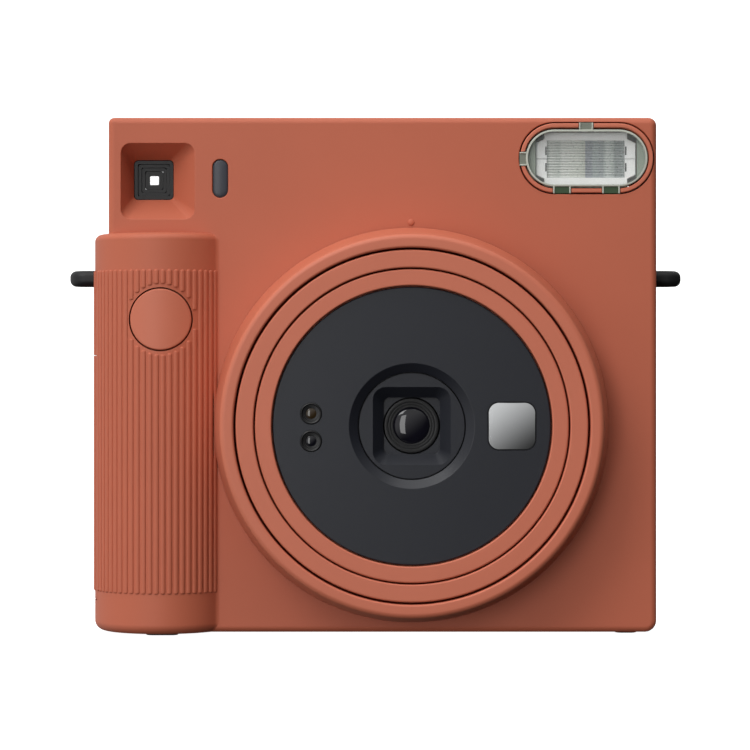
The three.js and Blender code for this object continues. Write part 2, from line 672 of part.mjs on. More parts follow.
const holderBottom = batteryBottom - 2.2;
function batteryHolder() {
  const [y0, y1] = [holderFrontY, batteryY + batteryRadius + 0.6 + holderWall];
  const left = batteryX - batteryRadius - 0.4;
  const tray = block([left, holderRight], [y0, y1], [holderBottom, batteryTop + 2.3]);
  const space = block([left - 1, holderRight - holderWall], [y0 + holderWall, y1 - holderWall],
    [holderBottom + holderWall, batteryTop + 2.3 - holderWall]);
  const post = rodY(2.0, y1 - 0.5, bodyDepth - 5.4, [counter.x, counter.z], 12);
  const stud = rodY(1.0, bodyDepth - 6, bodyDepth - 3.2, [counter.x, counter.z], 12);
  return join(cut(tray, space), post, stud);
}
part('battery_holder', batteryHolder(), greyPlastic);
['lower', 'upper'].forEach((level, i) => {
  const base = batteryBottom + i * (batteryLength + gap);
  part(`battery_${level}`, join(
    rodZ(batteryRadius, base, base + batteryLength - 1.0, [batteryX, batteryY], 24),
    rodZ(3.0, base + batteryLength - 1.5, base + batteryLength, [batteryX, batteryY], 12)),
  cellWrap);
});
part('battery_contact', block([batteryX - 5, batteryX + 5], [batteryY - 4, batteryY + 4],
  [batteryBottom - 0.7, batteryBottom - gap]), steel);

function batteryDoorPlate() {
  const { y, z, hingeX, hingeY, knuckle } = batteryDoor;
  const skin = cut(gripOuter, slabZ(gripPlan(wall, splitY + 1), -5, 130));
  const plate = common(skin, block([gripLeft - 2, gripLeft + 3.8], [y[0] + gap, hingeY],
    [z[0] + gap, z[1] - gap]));
  const barrel = rodZ(knuckle, z[0] + gap, z[1] - gap, [hingeX, hingeY], 16);
  return cut(join(plate, barrel), rodZ(pinBore, z[0] - 1, z[1] + 1, [hingeX, hingeY], 12));
}
part('battery_door', batteryDoorPlate(), terracotta);
part('battery_door_pin', rodZ(pinRadius, batteryDoor.z[0] - 2, batteryDoor.z[1] + 2,
  [batteryDoor.hingeX, batteryDoor.hingeY], 10), steel);

// ---------------------------------------------------------------- film chamber, pack, dark box

const gateSize = 62.0;
const gateZ = packBottom + packHeight / 2;
function filmChamber() {
  const outer = block([chamberLeft, chamberRight], [chamberFrontY, packRearY - 0.2],
    [chamberBottom, chamberTop]);
  const inner = block([chamberLeft + chamberWall, chamberRight - chamberWall],
    [packFrontY - gap, packRearY + 5], [packBottom - gap, packTop + gap]);
  const gate = centredBlock(packX, lensZ, gateSize, gateSize, 0, 30);
  const exit = block([packX - 37, packX + 37], [packFrontY, packFrontY + 3.4],
    [packTop - 1, packTop + 5]);
  const stud = rodX(1.0, gearLeftX - 0.5, chamberLeft + 0.5, [rearRollerY, idlerZ], 12);
  return join(cut(outer, inner, gate, exit), stud);
}
part('film_chamber', filmChamber(), blackPlastic);
part('film_pack', block([packX - packWidth / 2, packX + packWidth / 2], [packFrontY, packRearY],
  [packBottom, packTop]), blackPlastic);

const darkRearY = chamberFrontY - gap;
function darkBox() {
  // the funnel's corners stay inside the barrel guide
  const rearSide = (ringBore - 2.0) * Math.SQRT2;
  const frontSide = rearSide - 8;
  const flange = centredBlock(lensX, lensZ, rearSide + 14, rearSide + 14, 12.6, darkRearY);
  const outer = funnel([lensX, lensZ, frontSide, 9.2], [lensX, lensZ, rearSide, 12.9]);
  const inner = funnel([lensX, lensZ, frontSide - 4, 9.0], [lensX, lensZ, rearSide - 4, 12.9]);
  const mouth = centredBlock(lensX, lensZ, rearSide - 4, rearSide - 4, 12.8, darkRearY + 1);
  return cut(join(flange, outer), inner, mouth);
}
part('dark_box', darkBox(), blackPlastic);

// ---------------------------------------------------------------- film door

const latch = { z: [50, 66], slotX: [doorLeft + 4.5, doorLeft + 11.5] };
function filmDoor() {
  const plate = block([doorLeft + gap, doorHingeX], [doorFaceY, bodyDepth],
    [doorBottom + gap, doorTop - gap]);
  const barrel = rodZ(doorKnuckle, doorBottom + gap, doorTop - gap, [doorHingeX, doorHingeY], 16);
  return cut(
    join(plate, barrel),
    rodZ(pinBore, 0, 115, [doorHingeX, doorHingeY], 12),
    slabY(roundedRect(15.6, 9.6, 2.0, [packX, gateZ]), 30, 50),
    block(latch.slotX, [30, 50], [latch.z[0] + 4, latch.z[1] - 4]));
}
part('film_door', filmDoor(), terracotta);
part('door_hinge_pin', rodZ(pinRadius, 3.0, 109.5, [doorHingeX, doorHingeY], 10), steel);
part('film_window', slabY(roundedRect(15, 9, 1.7, [packX, gateZ]), doorFaceY + 0.4,
  bodyDepth - 0.2), glass);

function doorLatch() {
  const neckX = [latch.slotX[0] + 3.0, latch.slotX[1] - gap];
  return join(
    block([latch.slotX[0] - 1.0, latch.slotX[1] + 1.0], [bodyDepth + gap, bodyDepth + 1.6], latch.z),
    block(neckX, [doorFaceY - 0.8, bodyDepth + 0.5], [latch.z[0] + 4.3, latch.z[1] - 4.3]),
    block([doorLeft + gap, latch.slotX[1] + 1.0], [doorFaceY - 1.1, doorFaceY - gap],
      [latch.z[0] + 1, latch.z[1] - 1]));
}
part('door_latch', doorLatch(), blackPlastic);
part('counter_window', centredBlock(counter.x, counter.z + counter.window, 5.0, 5.0,
  bodyDepth - wall, bodyDepth - 0.2), clearPlastic);
part('counter_disc', turned([
  [1.0 + gap, bodyDepth - 4.9], [counter.radius, bodyDepth - 4.9],
  [counter.radius, bodyDepth - 4.1], [1.0 + gap, bodyDepth - 4.1],
], [counter.x, counter.z], 24), silver);

// ---------------------------------------------------------------- rollers, gears, motor, claw

const axleRadius = 1.2;
const frameLeft = packX - rollerLength / 2 - gap - 1.5;
const frameRight = packX + rollerLength / 2 + gap;
// the gears' teeth face each other in mesh: a tooth on the front gear, a gap on the rear one
function roller(y, gearAngle, toothThere) {
  const drum = rodX(rollerRadius, packX - rollerLength / 2, packX + rollerLength / 2,
    [y, rollerZ], 24);
  const axle = rodX(axleRadius, gearLeftX + 0.5, frameRight + 1.8, [y, rollerZ], 12);
  const gear = gearX(rollerTeeth, gearLeftX, gearRightX, [y, rollerZ], gearAngle, toothThere);
  return join(drum, axle, gear);
}
part('front_roller', roller(frontRollerY, 0, true), steel);
part('rear_roller', roller(rearRollerY, Math.PI, false), steel);

function rollerFrame() {
  const frameSpanZ = [chamberTop + 0.4, rollerZ + rollerRadius + 0.8];
  const plates = [frameLeft, frameRight].map((x) => block(
    [x, x + 1.5], [frontRollerY - 3, rearRollerY + rollerRadius + 1], frameSpanZ));
  const barFront = rearRollerY + rollerRadius + 0.6;
  const bar = block([frameLeft, frameRight + 1.5], [barFront, barFront + 1.6], frameSpanZ);
  const bores = [frontRollerY, rearRollerY].map((y) =>
    rodX(axleRadius + gap, frameLeft - 1, frameRight + 3, [y, rollerZ], 16));
  return cut(join(...plates, bar), ...bores);
}
part('roller_frame', rollerFrame(), steel);

// with an even number of teeth, the rear roller's underside lies half a tooth off its front side
const quarterTeeth = rollerTeeth / 4 - Math.floor(rollerTeeth / 4);
const idlerPhase = Math.PI / 2 + (quarterTeeth === 0 ? 0 : Math.PI / idlerTeeth);
part('idler_gear', cut(
  gearX(idlerTeeth, gearLeftX, gearRightX, [rearRollerY, idlerZ], idlerPhase, true),
  rodX(1.0 + gap, gearLeftX - 1, gearRightX + 1, [rearRollerY, idlerZ], 12)), greyPlastic);

const motorLeft = -58.0;
const motorRight = gearLeftX - 2.0;
part('drive_motor', cut(
  rodX(7.5, motorLeft, motorRight, [rearRollerY, pinionZ], 24),
  rodX(1.3, motorRight - 6, motorRight + 1, [rearRollerY, pinionZ], 12)), steel);
part('motor_pinion', join(
  gearX(pinionTeeth, gearLeftX, gearRightX, [rearRollerY, pinionZ], Math.PI / 2, true),
  rodX(1.0, motorRight - 5, gearLeftX + 1, [rearRollerY, pinionZ], 10)), steel);

const clawY = packRearY - 3.0;
part('film_claw', join(
  block([chamberLeft - 2.4, chamberLeft - 0.8], [clawY, clawY + 2.4], [70, 88]),
  block([chamberLeft - 2.4, chamberLeft - 0.8], [clawY, clawY + 3.4], [86, 88])), steel);

part('exit_flap', join(
  block([rollerSlot.x[0] + gap, rollerSlot.x[1] - gap], [rollerSlot.y[0] + gap, rollerSlot.y[1] - gap],
    [bodyTop - 1.4, bodyTop - 0.4]),
  rodX(flapPin, rollerSlot.x[0] - 1.4, rollerSlot.x[1] + 1.4, flapAxis, 10)), blackPlastic);

export default camera;
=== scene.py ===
import math
import bmesh
import bpy
from mathutils import Matrix, Vector


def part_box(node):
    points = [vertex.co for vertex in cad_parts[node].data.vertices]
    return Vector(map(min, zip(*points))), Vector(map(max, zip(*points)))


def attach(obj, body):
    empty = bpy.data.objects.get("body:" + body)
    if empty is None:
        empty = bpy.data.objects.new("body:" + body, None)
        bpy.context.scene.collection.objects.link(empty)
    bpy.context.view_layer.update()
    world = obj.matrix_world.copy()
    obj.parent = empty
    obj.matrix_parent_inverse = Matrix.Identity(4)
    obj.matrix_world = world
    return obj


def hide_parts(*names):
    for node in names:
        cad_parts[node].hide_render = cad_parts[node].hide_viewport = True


# Shapes are drawn in millimetres, with y = 0 on the camera body's front face, and become metres
# in the shared frame when a piece is finished.
MM = 0.001

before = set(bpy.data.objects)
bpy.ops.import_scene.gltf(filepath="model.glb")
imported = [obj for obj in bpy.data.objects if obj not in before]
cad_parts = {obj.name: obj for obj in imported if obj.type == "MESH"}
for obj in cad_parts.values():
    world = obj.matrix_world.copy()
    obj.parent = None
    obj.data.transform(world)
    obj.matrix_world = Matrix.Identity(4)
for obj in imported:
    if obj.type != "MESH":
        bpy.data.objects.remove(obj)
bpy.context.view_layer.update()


# ------------------------------------------------------------------ sizes and places

def low(node):
    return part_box(node)[0] / MM


def high(node):
    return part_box(node)[1] / MM


def middle(node):
    return (low(node) + high(node)) / 2


def across(node):
    """The middle of a node as seen from the front, as (x, z)."""
    return (middle(node).x, middle(node).z)


RING_HEIGHT = 14.0                      # the lens ring stands this far in front of the body
FRONT_SHIFT = low("lens_ring").y + RING_HEIGHT
GAP = 0.3                               # between pieces that meet
SEAM_GAP = 0.03                         # the two covers close on each other
HATCH_GAP = 0.1                         # above the battery door, whose top turns in its own plane
WALL = 2.0

BODY_LEFT, BODY_RIGHT = -61.5, high("rear_cover").x
BODY_BOTTOM, BODY_TOP = low("front_cover").z, high("front_cover").z
BACK_Y = high("rear_cover").y - FRONT_SHIFT
SPLIT_Y = high("front_cover").y - FRONT_SHIFT
GRIP_LEFT = low("rear_cover").x
GRIP_RADIUS = 16.0
GRIP_SWELL = 6.5
GRIP_TOP = 92.3
GRIP_CENTRE = (GRIP_LEFT + GRIP_RADIUS, GRIP_RADIUS - GRIP_SWELL)
GRIP_REAR_RADIUS = 8.0
GRIP_FADE = 1.6                         # hollow curve where the grip meets the front face

AXIS = across("lens_ring")
RING_RADIUS = (high("lens_ring").x - low("lens_ring").x) / 2
PLATE_RADIUS = (high("lens_faceplate").x - low("lens_faceplate").x) / 2
BUTTON = across("shutter_button")
BUTTON_RADIUS = 7.0
FINDER = across("viewfinder_tube")
FLASH = across("flash_window")
SENSOR = across("sensor_window")
MIRROR = across("selfie_mirror")


# ------------------------------------------------------------------ shader writing

class Value:
    """A number socket that Python's operators can work on."""

    def __init__(self, paint, socket):
        self.paint = paint
        self.socket = socket

    def _math(self, operation, first, second=None):
        inputs = {0: first} if second is None else {0: first, 1: second}
        return self.paint.node("ShaderNodeMath", {"operation": operation}, inputs)

    def __add__(self, other):
        return self._math("ADD", self, other)

    __radd__ = __add__

    def __mul__(self, other):
        return self._math("MULTIPLY", self, other)

    __rmul__ = __mul__

    def __sub__(self, other):
        return self._math("SUBTRACT", self, other)

    def __rsub__(self, other):
        return self._math("SUBTRACT", other, self)

    def __truediv__(self, other):
        return self._math("DIVIDE", self, other)

    def below(self, limit):
        return self._math("LESS_THAN", self, limit)

    def fraction(self):
        return self._math("FRACT", self)


class Paint:
    """One material and its node tree."""

    def __init__(self, name, **constants):
        self.material = bpy.data.materials.new(name)
        self.material.use_nodes = True
        self.tree = self.material.node_tree
        self.shader = self.tree.nodes["Principled BSDF"]
        for socket, value in constants.items():
            self.shader.inputs[socket.replace("_", " ")].default_value = value

    def node(self, kind, settings=None, inputs=None, output=0):
        """Adds a node: its settings first, then the values or links of its sockets."""
        made = self.tree.nodes.new(kind)
        for key, value in (settings or {}).items():
            if key == "stops":
                self._set_stops(made.color_ramp, value)
            else:
                setattr(made, key, value)
        for key, value in (inputs or {}).items():
            self._feed(made.inputs[key], value)
        return Value(self, made.outputs[output])

    def _set_stops(self, ramp, stops):
        while len(ramp.elements) < len(stops):
            ramp.elements.new(1.0)
        for element, (place, colour) in zip(ramp.elements, stops):
            element.position = place
            element.color = colour if len(colour) == 4 else (*colour, 1.0)

    def _feed(self, socket, value):
        if isinstance(value, Value):
            self.tree.links.new(value.socket, socket)
        else:
            socket.default_value = value

    def place(self):
        return self.node("ShaderNodeTexCoord", output="Object")

    def noise(self, size, detail=2.0, roughness=0.5, vector=None):
        """Cloudy noise whose lumps are about `size` millimetres wide."""
        inputs = {"Vector": vector or self.place(), "Scale": 1.0 / (size * MM),
                  "Detail": detail, "Roughness": roughness}
        return self.node("ShaderNodeTexNoise", {}, inputs)

    def grain(self, size, vector=None):
        inputs = {"Vector": vector or self.place(), "Scale": 1.0 / (size * MM)}
        return self.node("ShaderNodeTexVoronoi", {"feature": "F1"}, inputs, output="Distance")

    def between(self, mask, first, second):
        """Colour `first` where the mask is 0 and `second` where it is 1."""
        made = self.tree.nodes.new("ShaderNodeMix")
        made.data_type = "RGBA"
        colour_in = [s for s in made.inputs if s.type == "RGBA"]
        self._feed(made.inputs[0], mask)
        self._feed(colour_in[0], first)
        self._feed(colour_in[1], second)
        return Value(self, [s for s in made.outputs if s.type == "RGBA"][0])

    def bump(self, height, distance, strength=1.0):
        return self.node("ShaderNodeBump", {}, {
            "Height": height, "Distance": distance * MM, "Strength": strength})

    def set(self, **links):
        for socket, value in links.items():
            self._feed(self.shader.inputs[socket.replace("_", " ")], value)
        return self.material


def srgb(red, green, blue):
    """A display colour, 0 to 255, as the linear colour that a shader takes."""
    def linear(c):
        c /= 255
        return c / 12.92 if c <= 0.04045 else ((c + 0.055) / 1.055) ** 2.4
    return (linear(red), linear(green), linear(blue), 1.0)


def scaled(colour, factor):
    return tuple(min(1.0, c * factor) for c in colour[:3]) + (1.0,)


# ------------------------------------------------------------------ materials

def moulded_plastic(name, colour, roughness, grain_size=0.35, grain_height=0.012,
                    vary=0.05, specular=0.35):
    """Moulded plastic with a fine spark-eroded grain and faint, wide colour drift."""
    paint = Paint(name, Specular_IOR_Level=specular)
    drift = paint.noise(22.0, detail=3.0)
    fine = paint.noise(grain_size, detail=2.0, roughness=0.6)
    cells = paint.grain(grain_size * 1.3)
    shade = paint.between(drift, scaled(colour, 1 - vary), scaled(colour, 1 + vary))
    speck = paint.between(fine * 0.12, shade, scaled(colour, 0.82))
    height = fine * 0.6 + cells * 0.4
    return paint.set(Base_Color=speck, Roughness=roughness - 0.04 + fine * 0.08,
                     Normal=paint.bump(height, grain_height, 0.55))


def satin_plastic(name, colour, roughness):
    """Smoother moulding, with only a trace of flow marks round it."""
    paint = Paint(name, Specular_IOR_Level=0.4)
    drift = paint.noise(14.0, detail=2.0)
    fine = paint.noise(0.22, detail=2.0)
    shade = paint.between(drift, scaled(colour, 0.965), scaled(colour, 1.035))
    return paint.set(Base_Color=shade, Roughness=roughness - 0.03 + fine * 0.06,
                     Normal=paint.bump(fine, 0.004, 0.4))


def soft_rubber(name, colour):
    paint = Paint(name, Specular_IOR_Level=0.3)
    fine = paint.noise(0.3, detail=3.0)
    dust = paint.noise(6.0, detail=4.0)
    shade = paint.between(dust, scaled(colour, 0.85), scaled(colour, 1.2))
    return paint.set(Base_Color=shade, Roughness=0.62 + fine * 0.2,
                     Normal=paint.bump(fine, 0.02, 0.6))


def clear_moulding(name, tint, roughness, see_through):
    """Thin clear plastic: mostly see-through, with its own gloss and a faint tint."""
    paint = Paint(name, IOR=1.46, Specular_IOR_Level=0.5)
    haze = paint.noise(3.0, detail=2.0)
    return paint.set(Base_Color=paint.between(haze, tint, scaled(tint, 1.06)),
                     Roughness=roughness + haze * 0.03, Alpha=1 - see_through + haze * 0.04)


def lens_coating(name, colour, sheen_colour, coat=0.25):
    """Dark coated glass: black depth with a coloured bloom that shifts over its face."""
    paint = Paint(name, IOR=1.5, Coat_Weight=coat, Coat_Roughness=0.02, Specular_IOR_Level=0.45)
    bloom = paint.noise(5.0, detail=1.0)
    return paint.set(Base_Color=paint.between(bloom, colour, sheen_colour),
                     Roughness=0.03 + bloom * 0.02)


def plated(name, colour, roughness, grain=0.6):
    """Vacuum-plated plastic or polished metal with faint ripples."""
    paint = Paint(name)
    ripple = paint.noise(grain, detail=2.0)
    return paint.set(Base_Color=paint.between(ripple, scaled(colour, 0.93), colour), Metallic=1.0,
                     Roughness=roughness + ripple * 0.06, Normal=paint.bump(ripple, 0.01, 0.3))


def steel(name, colour, roughness):
    """Turned or rolled steel with fine lines along X."""
    paint = Paint(name)
    stretched = paint.node("ShaderNodeMapping", {}, {
        "Vector": paint.place(), "Scale": (0.08, 1.0, 1.0)})
    lines = paint.noise(0.25, detail=3.0, vector=stretched)
    return paint.set(Base_Color=paint.between(lines, scaled(colour, 0.8), colour), Metallic=1.0,
                     Roughness=roughness + lines * 0.15, Normal=paint.bump(lines, 0.006, 0.5))


def lamp_panel(name):
    """Plated prisms behind the flash pane, with painted reflection: bright on one half, grey-blue on
    the other.
    """
    paint = Paint(name)
    along = paint.node("ShaderNodeSeparateXYZ", {}, {"Vector": paint.place()}, output="X")
    share = (along - (FLASH[0] - 9.0) * MM) / (18.0 * MM)
    # painted reflection across the panel: bright bars and a bright left half, a darker grey-blue
    # right half
    bands = paint.node("ShaderNodeValToRGB", {"stops": [
        (0.0, srgb(150, 156, 152)), (0.04, srgb(206, 208, 202)), (0.16, srgb(186, 190, 184)),
        (0.20, srgb(212, 213, 208)), (0.40, srgb(206, 208, 200)), (0.492, srgb(190, 192, 182)),
        (0.5, srgb(118, 122, 134)), (0.58, srgb(128, 134, 142)), (0.60, srgb(146, 154, 156)),
        (0.72, srgb(138, 146, 148)), (0.77, srgb(196, 200, 198)), (0.85, srgb(170, 176, 174)),
        (0.88, srgb(126, 134, 134)), (1.0, srgb(140, 148, 146))]}, {"Fac": share})
    streaks = paint.noise(0.5, detail=3.0)
    return paint.set(Base_Color=paint.between(streaks * 0.35, bands, srgb(235, 238, 236)),
                     Metallic=0.35, Roughness=0.2 + streaks * 0.2,
                     Normal=paint.bump(streaks, 0.02, 0.5))


def circuit_board(name):
    """Green board with copper tracks in a square grid."""
    paint = Paint(name, Specular_IOR_Level=0.5)
    board, track = srgb(22, 78, 48), srgb(48, 120, 70)
    cells = paint.node("ShaderNodeTexBrick", {"offset": 0.5}, {
        "Vector": paint.place(), "Scale": 260.0, "Mortar Size": 0.02}, output="Fac")
    return paint.set(Base_Color=paint.between(cells, board, track), Roughness=0.35 + cells * 0.15,
                     Normal=paint.bump(cells, 0.03, 0.5))


def battery_wrap(name):
    """Shrunk printed sleeve in two bands."""
    paint = Paint(name, Specular_IOR_Level=0.5, Coat_Weight=0.3)
    apart = paint.node("ShaderNodeSeparateXYZ", {}, {"Vector": paint.place()}, output="Z")
    bands_per_metre, gold_share = 36.6, 0.3
    band = (apart * bands_per_metre).fraction().below(gold_share)
    wrinkle = paint.noise(2.0, detail=3.0)
    return paint.set(Base_Color=paint.between(band, srgb(38, 62, 108), srgb(178, 150, 84)),
                     Roughness=0.28 + wrinkle * 0.15, Normal=paint.bump(wrinkle, 0.03, 0.4))


TERRACOTTA = srgb(191, 102, 75)
materials = {
    "cover_plastic": moulded_plastic("cover_plastic", TERRACOTTA, 0.55),
    "ring_plastic": satin_plastic("ring_plastic", srgb(201, 112, 85), 0.5),
    "charcoal_plastic": moulded_plastic("charcoal_plastic", srgb(31, 33, 40), 0.38, 0.2, 0.01,
                                        specular=0.4),
    "black_plastic": moulded_plastic("black_plastic", srgb(28, 29, 31), 0.5, 0.3, 0.01),
    "grey_plastic": moulded_plastic("grey_plastic", srgb(96, 98, 101), 0.55, 0.3, 0.01),
    "black_rubber": soft_rubber("black_rubber", srgb(44, 46, 49)),
    "clear_plastic": clear_moulding("clear_plastic", srgb(232, 240, 236), 0.06, 0.95),
    "smoked_window": satin_plastic("smoked_window", srgb(60, 62, 69), 0.4),
    "lens_glass": lens_coating("lens_glass", srgb(8, 9, 12), srgb(20, 18, 30)),
    "reflector_metal": plated("reflector_metal", srgb(232, 233, 230), 0.16),
    "mirror": plated("mirror", srgb(244, 246, 247), 0.03, 8.0),
    "steel": steel("steel", srgb(176, 178, 180), 0.3),
    "board": circuit_board("board"),
    "battery_wrap": battery_wrap("battery_wrap"),
    "window_tab": satin_plastic("window_tab", srgb(126, 130, 118), 0.25),
    # a darker, greener copy of the tab colour: painted shade for the lower flash tabs
    "window_tab_painted_shade": satin_plastic("window_tab_painted_shade", srgb(62, 82, 58), 0.25),
    "lens_black": satin_plastic("lens_black", srgb(8, 8, 10), 0.4),
    "amber_glass": lens_coating("amber_glass", srgb(24, 18, 10), srgb(70, 52, 26)),
    # light grey that paints the highlight on the edges of clear plastic
    "painted_edge_highlight": satin_plastic("painted_edge_highlight", srgb(188, 192, 180), 0.3),
    "window_bed": satin_plastic("window_bed", srgb(140, 150, 136), 0.35),
    "lamp_house": satin_plastic("lamp_house", srgb(254, 254, 252), 0.3),
    "lamp_panel": lamp_panel("lamp_panel"),
    "film_pane": lens_coating("film_pane", srgb(60, 56, 40), srgb(80, 76, 52)),
    "dial_white": satin_plastic("dial_white", srgb(228, 228, 224), 0.5),
}

# ------------------------------------------------------------------ outlines and solids

def arc(centre, radius, start, end, steps):
    """Points on a circle from one angle to the other, in degrees."""
    turns = [math.radians(start + (end - start) * i / steps) for i in range(steps + 1)]
    return [(centre[0] + radius * math.cos(t), centre[1] + radius * math.sin(t)) for t in turns]


def rounded_rect(width, height, radii, centre, steps=8):
    """Outline whose corner radii run from the top right round to the bottom right."""
    if not isinstance(radii, tuple):
        radii = (radii,) * 4
    points = []
    for i, ((side, end), r) in enumerate(zip([(1, 1), (-1, 1), (-1, -1), (1, -1)], radii)):
        corner = (centre[0] + side * (width / 2 - r), centre[1] + end * (height / 2 - r))
        points += arc(corner, r, 90 * i, 90 * (i + 1), steps)
    return points


def circle(radius, centre, steps=64):
    return arc(centre, radius, 0, 360 * (steps - 1) / steps, steps - 1)


def filleted(corners, steps=5):
    """A closed outline from (x, y, radius) corners, each rounded by its radius."""
    points = []
    for i, (x, y, radius) in enumerate(corners):
        if radius == 0:
            points.append((x, y))
            continue
        corner = Vector((x, y))
        before = (Vector(corners[i - 1][:2]) - corner).normalized()
        after = (Vector(corners[(i + 1) % len(corners)][:2]) - corner).normalized()
        half = before.angle(after) / 2
        centre = corner + (before + after).normalized() * (radius / math.sin(half))
        first = corner + before * (radius / math.tan(half)) - centre
        last = corner + after * (radius / math.tan(half)) - centre
        start = math.atan2(first.y, first.x)
        turn = (math.atan2(last.y, last.x) - start + math.pi) % (2 * math.pi) - math.pi
        points += arc(centre, radius, math.degrees(start), math.degrees(start + turn), steps)
    return points


def rounded_ends(start, end, first=0.0, last=0.0, steps=6):
    """(place, inset) steps from start to end, with quarter-round edges of the given radii."""
    quarter = [math.pi / 2 * i / steps for i in range(steps + 1)]
    levels = [(start, 0.0)]
    if first:
        levels = [(start + first * (1 - math.cos(t)), first * (1 - math.sin(t))) for t in quarter]
    if last:
        levels += [(end - last * (1 - math.cos(t)), last * (1 - math.sin(t)))
                   for t in reversed(quarter)]
    else:
        levels.append((end, 0.0))
    return levels


def loft(rings, closed=False):
    """A skin through rings with equal numbers of points. It is capped unless it closes on itself."""
    bm = bmesh.new()
    rows = [[bm.verts.new(point) for point in ring] for ring in rings]
    pairs = list(zip(rows, rows[1:])) + ([(rows[-1], rows[0])] if closed else [])
    for lower, upper in pairs:
        for i in range(len(lower)):
            j = (i + 1) % len(lower)
            bm.faces.new((lower[i], lower[j], upper[j], upper[i]))
    if not closed:
        bm.faces.new(list(reversed(rows[0])))
        bm.faces.new(rows[-1])
    return tidy(bm)


def tidy(bm):
    bmesh.ops.remove_doubles(bm, verts=bm.verts, dist=1e-4)
    bmesh.ops.dissolve_degenerate(bm, edges=bm.edges, dist=1e-4)
    bmesh.ops.recalc_face_normals(bm, faces=bm.faces)
    return bm


def slab(shape, levels):
    """A solid along y: shape(inset) gives its (x, z) outline at each (y, inset) level."""
    return loft([[(x, y, z) for x, z in shape(inset)] for y, inset in levels])


def column(shape, levels):
    """A solid along z: shape(inset) gives its (x, y) outline at each (z, inset) level."""
    return loft([[(x, y, z) for x, y in shape(inset)] for z, inset in levels])


def rect_slab(width, height, radius, centre, levels, steps=8):
    least = 0.02
    return slab(lambda inset: rounded_rect(width - 2 * inset, height - 2 * inset,
                                           max(radius - inset, least), centre, steps), levels)


def rod(radius, y0, y1, centre, round_front=0.0, round_back=0.0, steps=64):
    return slab(lambda inset: circle(radius - inset, centre, steps),
                rounded_ends(y0, y1, round_front, round_back, 4))


def block(xs, ys, zs):
    """A plain box, used only to cut other solids or to be cut."""
    corners = [(xs[0], zs[0]), (xs[1], zs[0]), (xs[1], zs[1]), (xs[0], zs[1])]
    return loft([[(x, y, z) for x, z in corners] for y in ys])


def turned(outline, centre=AXIS, steps=128):
    """A ring about a line along y. The outline's points are (radius, y)."""
    rings = []
    for i in range(steps):
        turn = 2 * math.pi * i / steps
        rings.append([(centre[0] + r * math.cos(turn), y, centre[1] + r * math.sin(turn))
                      for r, y in outline])
    return loft(rings, closed=True)


def held_object(bm):
    mesh = bpy.data.meshes.new("held")
    bm.to_mesh(mesh)
    bm.free()
    held = bpy.data.objects.new("held", mesh)
    bpy.context.scene.collection.objects.link(held)
    return held


def worked(base, steps):
    """Runs exact boolean steps, (operation, solid), on a solid and returns the new solid."""
    target = held_object(base)
    tools = []
    for operation, solid in steps:
        tools.append(held_object(solid))
        step = target.modifiers.new("step", "BOOLEAN")
        step.operation = operation
        step.solver = "EXACT"
        step.object = tools[-1]
    evaluated = target.evaluated_get(bpy.context.evaluated_depsgraph_get())
    bm = bmesh.new()
    bm.from_mesh(evaluated.to_mesh())
    evaluated.to_mesh_clear()
    for used in [target, *tools]:
        bpy.data.meshes.remove(used.data)
    bmesh.ops.remove_doubles(bm, verts=bm.verts, dist=1e-4)
    bmesh.ops.dissolve_degenerate(bm, edges=bm.edges, dist=1e-4)
    return bm


def cut(base, *tools):
    return worked(base, [("DIFFERENCE", tool) for tool in tools])


def join(base, *others):
    return worked(base, [("UNION", other) for other in others])


def common(base, other):
    return worked(base, [("INTERSECT", other)])


def together(*solids):
    """Puts separate solids into one mesh as they are."""
    whole = bmesh.new()
    for solid in solids:
        mesh = bpy.data.meshes.new("held")
        solid.to_mesh(mesh)
        solid.free()
        whole.from_mesh(mesh)
        bpy.data.meshes.remove(mesh)
    return whole


TO_FRAME = Matrix.Diagonal((MM, MM, MM, 1)) @ Matrix.Translation((0, FRONT_SHIFT, 0))


def finished(name, bm, slot_name, body, stands_for=(), sharp=35, material=None):
    """Brings a solid into the frame as a piece that rides on a body."""
    bmesh.ops.transform(bm, matrix=TO_FRAME, verts=bm.verts)
    mesh = bpy.data.meshes.new(name)
    bm.to_mesh(mesh)
    bm.free()
    piece = bpy.data.objects.new(name, mesh)
    bpy.context.scene.collection.objects.link(piece)
    mesh.materials.clear()
    mesh.materials.append(material or materials[slot_name])
    mesh.shade_smooth()
    mesh.set_sharp_from_angle(angle=math.radians(sharp))
    weigh = piece.modifiers.new("weigh", "WEIGHTED_NORMAL")
    weigh.keep_sharp = True
    evaluated = piece.evaluated_get(bpy.context.evaluated_depsgraph_get())
    piece.data = bpy.data.meshes.new_from_object(evaluated)
    piece.modifiers.clear()
    bpy.data.meshes.remove(mesh)
    piece.data.name = name
    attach(piece, body)
    if stands_for:
        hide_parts(*stands_for)
    return piece


# ------------------------------------------------------------------ lens ring and barrels

def lens_ring():
    bore, face = 40.2, 42.6
    seat, collar, back = 41.7, 43.5, 3.9
    behind_wall, collar_y = -0.3, 2.3
    outline = filleted([
        (bore, -RING_HEIGHT, 0.5), (face + 0.6, -RING_HEIGHT, 1.3),
        (RING_RADIUS, behind_wall, 0.25), (seat, behind_wall, 0), (seat, collar_y, 0),
        (collar, collar_y, 0), (collar, back, 0), (bore, back, 0)], 8)
    finished("ring_band", turned(outline, steps=192), "ring_plastic", "ring", ["lens_ring"])


def barrel(name, outer, bore, front_y, body, node, shelf=()):
    rear_y = 8.0
    outline = filleted([(bore, front_y, 0.35), (outer, front_y, 0.45), (outer, rear_y, 0.2),
                        (bore, rear_y, 0.2), *shelf], 6)
    finished(name, turned(outline, steps=160), "ring_plastic", body, [node])


